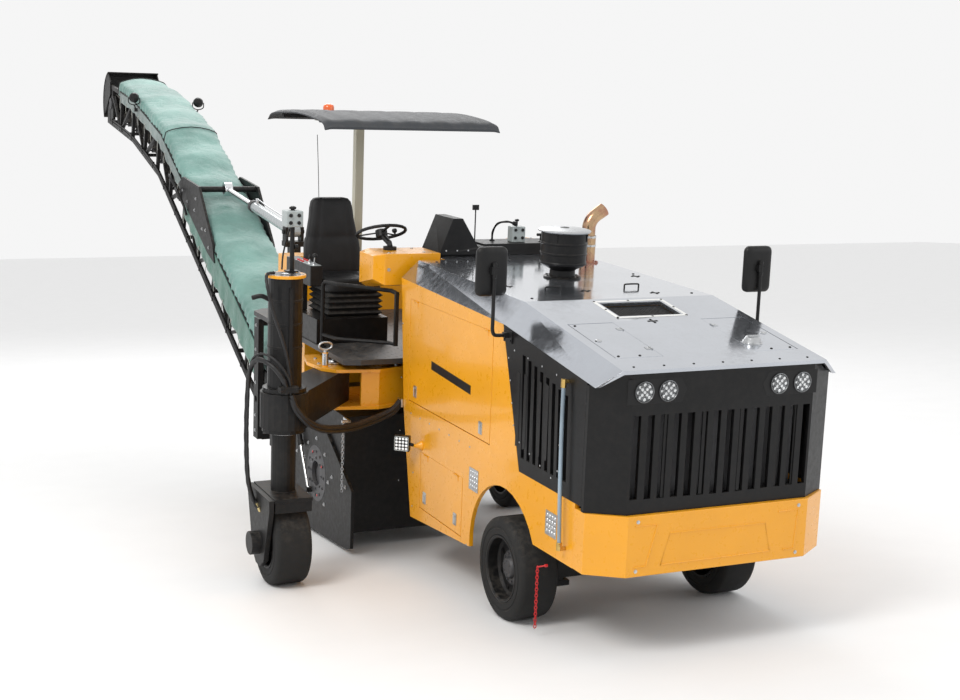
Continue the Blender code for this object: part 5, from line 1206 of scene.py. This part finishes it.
# ---------------------------------------------------------------- rear legs
def legs():
    bolts, pins = Piece(), Piece()
    for x, y in ((-0.70, 2.10), (-0.70, 2.50), (-0.86, 2.50), (-1.02, 2.52), (-1.18, 2.52), (-1.30, 2.40),
                 (-1.34, 2.20), (-0.80, 2.02)):
        bolts.bolt((x, y, 1.2503), (0, 0, 1), 0.011, 0.009)
    for y in (2.08, 2.22, 2.36, 2.50):
        for z in (1.02, 1.18):
            bolts.bolt((-0.6453, y, z), (-1, 0, 0), 0.012, 0.009)
    bolts.done("bracket_bolts", STEEL, "chassis", bevel=0.0008)
    pins.lathe((-1.22, 2.20, 1.275), (0, 0, 1),
               [(0.046, -0.024), (0.062, -0.022), (0.062, -0.010), (0.050, -0.006), (0.045, 0.002),
                (0.028, 0.004), (0.010, 0.005), (0, 0.005)], 40)
    pins.bolt((-1.22, 2.20, 1.280), (0, 0, 1), 0.014, 0.009)
    pins.lathe((-0.90, 2.12, 1.275), (0, 0, 1),
               [(0.060, -0.006), (0.060, 0.000), (0.052, 0.004), (0.030, 0.004), (0.028, 0.0), (0, 0.0)], 36)
    pins.rod((-1.325, 2.10, 1.355), (-1.325, 2.10, 1.372), 0.014, 16)
    pins.rod((-1.325, 2.10, 1.262), (-1.325, 2.10, 1.350), 0.0232, 20)
    loop = [Vector((-1.325 + math.cos(t) * 0.050, 2.10, 1.404 + math.sin(t) * 0.028))
            for t in [2 * math.pi * n / 24 for n in range(24)]]
    pins.tube(loop, 0.008, 10, closed=True)
    pins.done("bracket_pins", STEEL, "chassis", bevel=0.001)
    for word, x, y, body in (("right", LEG_X, LEG_Y, "leg_right"), ("left", 0.80, 3.20, "chassis")):
        sleeve_low, sleeve_high = own_box("leg_sleeve_" + word)
        shape = Piece()
        for k in range(8):
            a = 2 * math.pi * (k + 0.5) / 8
            shape.bolt((x + math.cos(a) * 0.118, y + math.sin(a) * 0.118, sleeve_high.z), (0, 0, 1), 0.0085,
                       0.007)
        shape.lathe((x, y, sleeve_high.z), (0, 0, 1),
                    [(0.030, -0.001), (0.030, 0.004), (0.018, 0.006), (0, 0.006)], 24)
        shape.done("sleeve_bolts_" + word, STEEL, body, bevel=0.0008)
        flange = Piece().lathe((x, y, sleeve_high.z), (0, 0, 1),
                               [(0.1355, -0.019), (0.1375, -0.017), (0.1375, -0.001), (0.1345, 0.0012),
                                (0.112, 0.0012), (0.110, 0.0)], 48)
        flange.done("sleeve_flange_" + word, YELLOW, body, smooth=30)
        band = Piece()
        band.lathe((x, y, sleeve_low.z), (0, 0, 1),
                   [(0.1178, 0.001), (0.1205, 0.002), (0.1205, 0.024), (0.1178, 0.025)], 48)
        band.done("sleeve_wiper_" + word, STEEL, body, smooth=30)
        ribs = Piece()
        for k in range(3):
            z = sleeve_high.z - 0.18 - 0.16 * k
            ribs.lathe((x, y, z), (0, 0, 1), [(0.1177, 0), (0.1200, 0.002), (0.1200, 0.014), (0.1177, 0.016)],
                       48)
        ribs.box((x - 0.012, y - 0.130, sleeve_high.z - 0.62), (x + 0.012, y - 0.115, sleeve_high.z - 0.08))
        ribs.done("sleeve_bands_" + word, FRAME_BLACK, body, smooth=30)
        fork_low, fork_high = own_box("leg_fork_" + word)
        motor = Piece()
        side = 1 if x > 0 else -1
        centre = joint_place("rear_wheel_spin_" + word)
        face = (fork_low.x if side < 0 else fork_high.x)
        for k in range(8):
            a = 2 * math.pi * (k + 0.5) / 8
            y, z = centre.y + math.cos(a) * 0.062, centre.z + math.sin(a) * 0.062
            motor.rod((face - side * 0.012, y, z), (face - side * 0.0004, y, z), 0.008, 6)
        motor.done("motor_bolts_" + word, STEEL, body)
    post = Piece()
    post.rod((-1.755, 1.60, 2.031), (-1.755, 1.60, 2.34), 0.016, 18)
    post.box((-1.80, 1.565, 2.0305), (-1.71, 1.635, 2.040))
    post.rod((-1.715, 1.60, 2.20), (-1.74, 1.60, 2.20), 0.018, 14)
    post.tube(smooth_path([(-1.765, 1.62, 2.33), (-1.775, 1.66, 2.25), (-1.80, 1.66, 2.14),
                           (-1.82, 1.62, 2.045)], 8), 0.006, 10)
    post.done("control_post", PLASTIC, "leg_right", bevel=0.001)
    case = Piece().box((-1.815, 1.545, 2.340), (-1.695, 1.655, 2.450))
    case.done("control_case", BOX_GREY, "leg_right", bevel=0.008)
    caps = Piece()
    for z in (2.37, 2.42):
        for x in (-1.785, -1.727):
            caps.lathe((x, 1.5445, z), (0, -1, 0), [(0.013, 0), (0.013, 0.005), (0.009, 0.012), (0, 0.012)],
                       18)
    caps.lathe((-1.755, 1.60, 2.4505), (0, 0, 1),
               [(0.014, 0), (0.014, 0.006), (0.024, 0.010), (0.024, 0.022), (0.012, 0.028), (0, 0.028)], 20)
    caps.done("control_caps", PLASTIC, "leg_right")
    routes = (([(-1.872, 1.300, 1.250), (-1.900, 1.292, 1.335), (-1.965, 1.340, 1.430),
                (-2.030, 1.470, 1.455), (-2.047, 1.600, 1.340), (-2.048, 1.655, 1.080),
                (-2.048, 1.655, 0.800), (-2.044, 1.620, 0.580), (-2.025, 1.560, 0.455),
                (-2.000, 1.520, 0.420)], 0.0175, 100),
              ([(-1.845, 1.296, 1.235), (-1.868, 1.288, 1.350), (-1.945, 1.325, 1.470),
                (-2.020, 1.440, 1.500), (-2.052, 1.560, 1.400), (-2.056, 1.600, 1.080),
                (-2.056, 1.600, 0.800), (-2.052, 1.565, 0.560), (-2.030, 1.500, 0.430),
                (-2.004, 1.470, 0.405)], 0.0095, 120),
              ([(-1.925, 1.470, 2.045), (-1.985, 1.430, 2.035), (-1.995, 1.370, 1.950),
                (-1.960, 1.342, 1.780), (-1.900, 1.325, 1.600), (-1.860, 1.318, 1.430),
                (-1.842, 1.310, 1.260)], 0.0120, 70))
    for k, (points, radius, ribs) in enumerate(routes):
        hose = Piece().tube(smooth_path(points, 9), ribbed(radius - 0.002, 0.0024, ribs), 12)
        hose.done("leg_hose_" + "abc"[k], HOSE, "leg_right", smooth=60)
    holder = Piece()
    holder.box((-1.930, 1.270, 1.255), (-1.800, 1.335, 1.295))
    for x in (-1.915, -1.815):
        holder.bolt((x, 1.270, 1.275), (0, -1, 0), 0.008, 0.006)
    holder.tube(smooth_path([(-1.945, 1.50, 1.86), (-2.00, 1.50, 1.885), (-2.055, 1.53, 1.87)], 9), 0.016, 12)
    holder.done("leg_hose_holder", FRAME_BLACK, "leg_right", bevel=0.002)
    fittings = Piece()
    fittings.rod((-1.997, 1.515, 0.405), (-2.006, 1.528, 0.432), 0.021, 6)
    fittings.rod((-1.999, 1.466, 0.390), (-2.008, 1.476, 0.416), 0.0145, 6)
    fittings.done("leg_hose_fittings", GOLD_ZINC, "leg_right")


def arm_hoses():
    """Sleeved hydraulic hoses from the body to the swing arm."""
    clamp = Piece()
    clamp.box((-0.850, 1.770, 0.985), (-0.834, 1.850, 1.045))
    clamp.done("hose_clamp", STEEL, "chassis", bevel=0.002)
    for k in range(4):
        dy, dz = 0.024 * (k % 2), 0.026 * (k // 2)
        line = smooth_path([(-0.842, 1.80 + dy, 1.00 + dz), (-0.92, 1.765 + dy, 0.945 + dz),
                            (-1.05, 1.735 + dy, 0.905 + dz), (-1.25, 1.62 + dy, 0.890 + dz),
                            (-1.45, 1.48 + dy, 0.915 + dz), (-1.62, 1.35 + dy, 0.965 + dz),
                            (-1.74, 1.285 + dy * 0.6, 1.040 + dz), (-1.815, 1.280 + dy * 0.6, 1.130 + dz),
                            (-1.845, 1.282 + dy * 0.6, 1.215 + dz)], 12)
        hose = Piece().tube(line, ribbed(0.0130, 0.0024, 96), 12)
        hose = hose.done("arm_hose_%d" % k, HOSE, None, smooth=60)
        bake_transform(hose)


def drum_side():
    shape = Piece()
    for k in range(8):
        a = 2 * math.pi * k / 8
        y, z = 2.82 + math.cos(a) * 0.285, 0.235 + math.sin(a) * 0.285
        if z < 0.56 and z > -0.02:
            shape.bolt((-1.1302, y, z), (-1, 0, 0), 0.011, 0.008)
    for y in (2.15, 2.45, 3.10, 3.30):
        shape.bolt((-1.1302, y, 0.30), (-1, 0, 0), 0.010, 0.008)
    shape.done("edge_plate_bolts", STEEL, "edge_plate", bevel=0.0008)
    chain = Piece()
    run = [(-1.155, 2.16, 0.80 - 0.021 * k) for k in range(26)]
    for k, point in enumerate(run):
        wide = Vector((1, 0, 0)) if k % 2 else Vector((0, 1, 0))
        loop = [Vector(point) + Vector((0, 0, 1)) * math.cos(t) * 0.0150 + wide * math.sin(t) * 0.0090
                for t in [2 * math.pi * n / 12 for n in range(12)]]
        chain.tube(loop, 0.0026, 6, closed=True)
    chain.box((-1.165, 2.150, 0.800), (-1.098, 2.170, 0.818))
    chain.box((-1.118, 2.150, 0.800), (-1.098, 2.262, 0.818))
    chain.done("housing_chain", STEEL, "chassis")
    ram = Piece()
    ram.rod((-1.158, 3.130, 0.400), (-1.158, 3.245, 0.600), 0.021, 20)
    ram.rod((-1.158, 3.222, 0.560), (-1.158, 3.250, 0.609), 0.025, 20)
    ram.rod((-1.158, 3.127, 0.395), (-1.158, 3.146, 0.428), 0.025, 20)
    ram.box((-1.180, 2.900, 0.060), (-1.131, 2.950, 0.095))
    ram.done("edge_plate_ram", FRAME_BLACK, "edge_plate", bevel=0.001)
    ram_rod = Piece().rod((-1.158, 2.925, 0.082), (-1.158, 3.132, 0.402), 0.0105, 20)
    ram_rod.bolt((-1.158, 2.925, 0.082), (-1, 0, 0), 0.016, 0.012)
    ram_rod.done("edge_plate_ram_rod", CHROME, "edge_plate")
    hub = Piece().lathe((-1.1308, 2.82, 0.235), (-1, 0, 0),
                        [(0.224, -0.002), (0.224, 0.0), (0.200, 0.001), (0.1, 0.001), (0.1, -0.03),
                         (0, -0.03)], 48)
    for k in range(12):
        a = 2 * math.pi * k / 12
        hub.bolt((-1.1318, 2.82 + math.cos(a) * 0.175, 0.235 + math.sin(a) * 0.175), (-1, 0, 0), 0.010, 0.008)
    for k in range(8):
        a = 2 * math.pi * k / 8
        hub.bolt((-1.1318, 2.82 + math.cos(a) * 0.125, 0.235 + math.sin(a) * 0.125), (-1, 0, 0), 0.0085,
                 0.007)
    hub.done("edge_plate_hub", IRON, "edge_plate")
    marks = Piece()
    for a in (1.2, 2.6, 4.4):
        spot = Vector((-1.1402, 2.82 + math.cos(a) * 0.175, 0.235 + math.sin(a) * 0.175))
        marks.rod(spot, spot + Vector((-0.0012, 0, 0)), 0.0095, 12)
    marks.done("edge_plate_marks", RED, "edge_plate")


# ---------------------------------------------------------------- discharge conveyor
def lifted(line, distance):
    """The chord's line moved square to itself, with mitred corners."""
    moved = []
    for k, point in enumerate(line):
        here = Vector(point)
        before = (here - Vector(line[k - 1])) if k else (Vector(line[1]) - here)
        after = (Vector(line[k + 1]) - here) if k + 1 < len(line) else before
        left = [Vector((-d.y, d.x)).normalized() for d in (before, after)]
        middle = (left[0] + left[1]).normalized()
        moved.append(here + middle * distance / middle.dot(left[0]))
    return moved


def on_conveyor(share, lift, x=0.0):
    """Point at a share of the conveyor's length, lifted square to it; x from its middle."""
    line = lifted(CHORD, lift)
    total = sum((b - a).length for a, b in zip(line, line[1:]))
    rest = total * share
    for a, b in zip(line, line[1:]):
        span = (b - a).length
        if rest <= span or b is line[-1]:
            spot = a.lerp(b, rest / span)
            return Vector((CONV_X + x, spot.x, spot.y))
        rest -= span
    return None


def cloth_thick(obj, thickness=0.0014):
    made = obj.modifiers.new("cloth", "SOLIDIFY")
    made.thickness = thickness
    made.offset = 0.0
    return obj


def tarpaulin_cover():
    """Tarpaulin stretched over bows: it sags between them and creases toward its ties."""
    profile = [(-0.298, -0.060), (-0.297, -0.020), (-0.294, 0.030), (-0.284, 0.082), (-0.262, 0.100),
               (-0.20, 0.122), (-0.10, 0.142), (0.0, 0.149), (0.10, 0.142), (0.20, 0.122), (0.262, 0.100),
               (0.284, 0.082), (0.294, 0.030), (0.297, -0.020), (0.298, -0.060)]
    fine = []
    for (ax, az), (bx, bz) in zip(profile, profile[1:]):
        parts = max(1, int(math.hypot(bx - ax, bz - az) / 0.022))
        fine += [(ax + (bx - ax) * n / parts, az + (bz - az) * n / parts) for n in range(parts)]
    fine.append(profile[-1])
    start, stop, bows = 0.040, 0.922, 11
    steps = 240
    rings = []
    for k in range(steps + 1):
        share = start + (stop - start) * k / steps
        phase = (share - start) / (stop - start) * bows
        sag = 0.5 - 0.5 * math.cos(2 * math.pi * phase)
        ring = []
        for x, rise in fine:
            middle = max(0.0, 1 - (abs(x) / 0.29) ** 4)
            side = min(1.0, max(0.0, (abs(x) - 0.24) / 0.05))
            broad, fine_fold = Vector((x * 5, share * 60, 0.3)), Vector((x * 14 + share * 90, share * 40,
                                                                         2.0))
            fold = noise.noise(broad) * 0.007 + noise.noise(fine_fold) * 0.0035
            pull = 0.006 * side * math.sin(share * 420 + 2.2 * noise.noise(Vector((share * 30, 0, x * 3))))
            drop = -0.030 * sag * middle - 0.010 * sag * side
            out = 1 - 0.030 * sag * side
            if rise > 0.02:
                level = max(0.002, rise + drop + fold * (0.4 + middle) - 0.004)
            else:
                level = rise + fold * 0.5
            if abs(x) <= 0.25:
                pull = 0.0
            elif x > 0:
                pull = -pull
            ring.append(on_conveyor(share, TRUSS_D + level, x * out + pull))
        rings.append(ring)
    sheet = Piece().strip(rings, closed=False, caps=False)
    obj = cloth_thick(sheet.done("tarpaulin", TARP, "conveyor", smooth=80))
    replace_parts(obj, "conveyor_cover")
    arch = sum(math.hypot(b[0] - a[0], b[1] - a[1]) for a, b in zip(profile, profile[1:]))
    line = lifted(CHORD, TRUSS_D + 0.12)
    long = sum((b - a).length for a, b in zip(line, line[1:])) * (stop - start)
    bow = Piece()
    for k in range(bows + 1):
        share = start + (stop - start) * (k / bows) * 0.998 + 0.0005
        line = [on_conveyor(share, TRUSS_D + rise * 0.965 - 0.010, x * 0.970) for x, rise in profile[3:-3]]
        bow.tube(line, 0.0055, 8)
    bow.done("cover_bows", FRAME_BLACK, "conveyor")
    rims = Piece()
    for share in (start + 0.001, 0.42, 0.60, stop - 0.001):
        line = [on_conveyor(share, TRUSS_D + rise + (0.004 if rise > 0.02 else 0.0), x * 1.004)
                for x, rise in profile[1:-1]]
        rims.tube(line, 0.0048, 8)
    rims.done("cover_straps", PLASTIC, "conveyor")


def skirts():
    """Dark side curtains laced to the truss below the cover."""
    for word, side in (("right", -1), ("left", 1)):
        for part, (start, stop, low,
                   made) in enumerate(((0.045, 0.46, 0.20, TARP_DARK), (0.47, 0.90, 0.36, TARP_GREY))):
            rings = []
            steps = 150
            rows = 12
            for k in range(steps + 1):
                share = start + (stop - start) * k / steps
                ring = []
                for n in range(rows + 1):
                    t = n / rows
                    level = TRUSS_D - 0.012 - (TRUSS_D - 0.012 - low) * t
                    scallop = 0.018 * t * abs(math.sin((share - start) / (stop - start) * math.pi * 9))
                    crease = noise.noise(Vector((share * 60, t * 3, side * 2.0)))
                    wave = 0.0055 * t * math.sin(share * 190 + side) + 0.004 * t * crease
                    ring.append(on_conveyor(share, level + scallop,
                                            side * (CONV_HALF + 0.0045 + 0.004 * t + wave)))
                rings.append(ring)
            sheet = Piece().strip(rings, closed=False, caps=False)
            obj = cloth_thick(sheet.done("skirt_%s_%d" % (word, part), made, "conveyor", smooth=80))
            line = lifted(CHORD, TRUSS_D - 0.1)
            long = sum((b - a).length for a, b in zip(line, line[1:])) * (stop - start)
        ties = Piece()
        for k in range(20):
            share = 0.055 + 0.84 * k / 19
            if 0.453 < share < 0.477:
                continue
            low = 0.20 if share < 0.46 else 0.36
            top = on_conveyor(share, low + 0.040, side * (CONV_HALF + 0.012))
            mid = on_conveyor(share + 0.002, low - 0.020, side * (CONV_HALF + 0.013))
            foot = on_conveyor(share + 0.003, max(0.03, low - 0.075), side * (CONV_HALF + 0.004))
            ties.tube(smooth_path([top, mid, foot], 5), 0.0032, 6)
            ties.lathe(top, (side, 0, 0),
                       [(0.0065, -0.004), (0.0095, -0.001), (0.0095, 0.001), (0.0060, 0.002), (0, 0.002)], 12)
        ties.done("skirt_ties_" + word, ROPE, "conveyor")


def belt_parts():
    cleats, rollers, ends = Piece(), Piece(), Piece()
    for k in range(60):
        share = 0.05 + 0.90 * k / 60
        for half in (-1, 1):
            a = on_conveyor(share, 0.3685, half * 0.005)
            b = on_conveyor(share + 0.012, 0.3685, half * 0.20)
            along_it = (on_conveyor(share + 0.004, 0.3685) - on_conveyor(share, 0.3685)).normalized()
            up = Vector((0, -along_it.z, along_it.y))
            rings = [[p + along_it * s * 0.006 + up * h
                      for s, h in ((-1, 0), (1, 0), (0.5, 0.016), (-0.5, 0.016))] for p in (a, b)]
            cleats.strip(rings)
    cleats.done("belt_cleats", BELT, "conveyor")
    for k in range(16):
        share = 0.07 + 0.86 * k / 15
        for lift, radius in ((0.128, 0.024),):
            rollers.rod(on_conveyor(share, lift, -0.245), on_conveyor(share, lift, 0.245), radius, 20)
            rollers.rod(on_conveyor(share, lift, -0.272), on_conveyor(share, lift, 0.272), 0.009, 10)
    rollers.done("return_rollers", IRON, "conveyor", smooth=40)
    for share, lift in ((0.025, 0.25), (0.975, 0.27)):
        for side in (-1, 1):
            hub = on_conveyor(share, lift, side * CONV_HALF)
            ends.lathe(hub, (side, 0, 0),
                       [(0.070, -0.001), (0.070, 0.008), (0.050, 0.012), (0.036, 0.0125), (0.034, 0.010),
                        (0, 0.010)], 36)
            for n in range(4):
                a = math.radians(45 + 90 * n)
                ends.bolt(hub + Vector((side * 0.008, math.cos(a) * 0.059, math.sin(a) * 0.059)),
                          (side, 0, 0), 0.007, 0.004)
    ends.done("drum_bearings", IRON, "conveyor", bevel=0.0008)


def conveyor_fittings():
    cases, glass, cells, bolts = Piece(), Piece(), Piece(), Piece()
    for x, share in ((-0.345, 0.765), (0.345, 0.745)):
        foot = on_conveyor(share, TRUSS_D - 0.02, x * 0.985)
        side = 1 if x > 0 else -1
        top = foot + Vector((side * 0.02, 0, 0.13))
        cases.box(foot - Vector((0.018, 0.022, 0.03)), foot + Vector((0.018, 0.022, 0.012)))
        cases.rod(foot, foot + Vector((side * 0.02, 0, 0.05)), 0.008, 12)
        cases.tube(smooth_path([top + Vector((-0.066, 0, 0)), top + Vector((-0.060, 0, -0.060)),
                                top + Vector((0, 0, -0.082)), top + Vector((0.060, 0, -0.060)),
                                top + Vector((0.066, 0, 0))], 6), 0.006, 8)
        axis = Vector((0, 1, -0.55)).normalized()
        cases.lathe(top - axis * 0.03, axis,
                    [(0, -0.022), (0.030, -0.020), (0.052, 0.0), (0.058, 0.030), (0.058, 0.040),
                     (0.050, 0.041)], 32)
        round_lamp(cases, glass, cells, top + axis * 0.010, axis, 0.052)
    cases.done("conveyor_lamps", PLASTIC, "conveyor", smooth=35)
    glass.done("conveyor_lamp_glass", LENS, "conveyor")
    cells.done("conveyor_lamp_cells", GLOW, "conveyor")
    for x in (-0.3205, 0.3203):
        side = 1 if x > 0 else -1
        for y, z in ((6.50, 1.58), (6.75, 1.74), (7.05, 1.90), (7.35, 1.96), (7.55, 2.06), (7.00, 2.02),
                     (6.62, 1.74)):
            bolts.bolt((CONV_X + x, y, z), (side, 0, 0), 0.012, 0.009)
    for side in (-1, 1):
        for share in [0.06 + 0.085 * k for k in range(11)]:
            spot = on_conveyor(share, 0.024, side * CONV_HALF)
            bolts.bolt(spot, (side, 0, 0), 0.008, 0.006)
    bolts.done("conveyor_bolts", STEEL, "conveyor")
    pipes = Piece()
    for k in range(2):
        line = [on_conveyor(0.02 + 0.94 * n / 40, 0.058 + 0.028 * k + 0.003 * math.sin(n * 0.9),
                            -(CONV_HALF + 0.012)) for n in range(41)]
        pipes.tube(smooth_path(line[::2], 4), 0.0105, 10)
    pipes.done("conveyor_hoses", HOSE, "conveyor", smooth=60)
    loops = Piece()
    for share in (0.435, 0.475):
        a = on_conveyor(share, 0.30, -(CONV_HALF + 0.022))
        b = on_conveyor(share + 0.045, 0.32, -(CONV_HALF + 0.022))
        mid = (a + b) / 2 + Vector((-0.07, 0, 0.16))
        loops.tube(smooth_path([a, a + Vector((-0.03, 0.0, 0.10)), mid, b + Vector((-0.03, 0, 0.08)), b], 8),
                   0.0135, 10)
    loops.done("conveyor_hose_loops", HOSE, "conveyor", smooth=60)
    clips = Piece()
    for k in range(13):
        spot = on_conveyor(0.05 + 0.90 * k / 12, 0.072, -CONV_HALF)
        clips.box(spot + Vector((-0.026, -0.014, -0.036)), spot + Vector((-0.0003, 0.014, 0.036)))
    clips.done("hose_clips", FRAME_BLACK, "conveyor", bevel=0.003)
    scraper = Piece()
    a = on_conveyor(0.955, 0.165)
    scraper.box(a + Vector((-0.235, -0.008, -0.045)), a + Vector((0.235, 0.008, 0.02)))
    scraper.done("belt_scraper", RUBBER, "conveyor")


def cylinder_parts():
    barrel = TO_LEVEL @ Vector(JOINTS["lift_barrel_turn"]["pos_m"])
    eye = Vector((CONV_X, 6.97, 2.12))
    way = (eye - barrel).normalized()
    reach = (own_box("lift_cylinder_barrel")[1].y - barrel.y) / way.y
    fits = Piece()
    fits.lathe(barrel + way * (reach - 0.012), way,
               [(0.046, -0.055), (0.0595, -0.054), (0.0595, 0.004), (0.046, 0.006)], 40)
    fits.done("cylinder_gland", IRON, "lift_barrel", smooth=30)
    hard = Piece()
    up = Vector((1, 0, 0)).cross(way)
    for share in (0.16, 0.90):
        spot = barrel + way * reach * share
        hard.rod(spot + up * 0.045, spot + up * 0.085, 0.013, 14)
        hard.rod(spot + up * 0.070, spot + up * 0.092, 0.016, 6)
    line = [barrel + way * reach * 0.90 + up * 0.082, barrel + way * reach * 0.86 + up * 0.090,
            barrel + way * reach * 0.60 + up * 0.080, barrel + way * reach * 0.30 + up * 0.080,
            barrel + way * reach * 0.20 + up * 0.085, barrel + way * reach * 0.16 + up * 0.084]
    hard.tube(smooth_path(line, 6), 0.006, 10)
    hard.done("cylinder_pipes", STEEL, "lift_barrel", bevel=0.0006)


def slew_parts():
    bolts = Piece()
    for side in (-1, 1):
        x = CONV_X + side * 0.3905
        for z in (0.16, 0.30, 0.60, 0.90, 1.12):
            bolts.bolt((x, 4.62, z), (side, 0, 0), 0.011, 0.008)
    for x in (-0.12, 0.12):
        bolts.bolt((CONV_X + x, 4.76, 1.1803), (0, 0, 1), 0.010, 0.008)
    bolts.done("slew_bolts", STEEL, "slew_frame")


# ---------------------------------------------------------------- light, floor and camera
def area(name, where, target, size, power, colour):
    made = bpy.data.lights.new(name, "AREA")
    made.shape = "RECTANGLE"
    made.size, made.size_y = size
    made.energy = power
    made.color = colour
    obj = bpy.data.objects.new(name, made)
    bpy.context.scene.collection.objects.link(obj)
    obj.location = where
    obj.rotation_euler = (Vector(target) - Vector(where)).to_track_quat("-Z", "Y").to_euler()


def stage():
    scene = bpy.context.scene
    world = bpy.data.worlds.new("studio")
    world.use_nodes = True
    back = world.node_tree.nodes["Background"]
    back.inputs["Color"].default_value = (1.0, 1.0, 1.0, 1.0)
    back.inputs["Strength"].default_value = 0.92
    scene.world = world
    shape = bmesh.new()
    bmesh.ops.create_grid(shape, x_segments=1, y_segments=1, size=60)
    mesh = bpy.data.meshes.new("floor")
    shape.to_mesh(mesh)
    shape.free()
    floor = bpy.data.objects.new("floor", mesh)
    scene.collection.objects.link(floor)
    floor.location = (0, 0, -0.0005)
    mesh.materials.append(worn("floor_white", (0.86, 0.86, 0.86), 0.75, vary=0.01, grain=40.0, depth=0.0002))
    area("key", (-9.0, -9.0, 11.0), (0.0, -1.0, 1.0), (5.0, 5.0), 900, (1.0, 0.98, 0.95))
    area("fill", (8.0, -12.0, 6.0), (0.0, -1.0, 1.0), (8.0, 5.0), 120, (0.95, 0.97, 1.0))
    area("rear", (3.0, 9.0, 10.0), (0.0, 0.0, 1.5), (8.0, 5.0), 500, (1.0, 1.0, 1.0))
    lens = bpy.data.cameras.new("camera")
    lens.lens = 56.7
    lens.sensor_width = 36.0
    camera = bpy.data.objects.new("camera", lens)
    scene.collection.objects.link(camera)
    camera.location = (-4.463, -13.556, 2.655)
    camera.rotation_euler = (math.radians(84.355), math.radians(0.2), math.radians(-25.08))
    scene.camera = camera
    scene.view_settings.view_transform = "Standard"


dress_cad()
wheels()
drum()
hood_fittings()
air_cleaner()
exhaust()
mirror("right", -1, 0.10)
mirror("left", 1, 0.0)
front_details()
side_details()
deck_pattern()
seat()
controls()
dash()
canopy()
legs()
arm_hoses()
drum_side()
tarpaulin_cover()
skirts()
belt_parts()
conveyor_fittings()
cylinder_parts()
slew_parts()
stage()
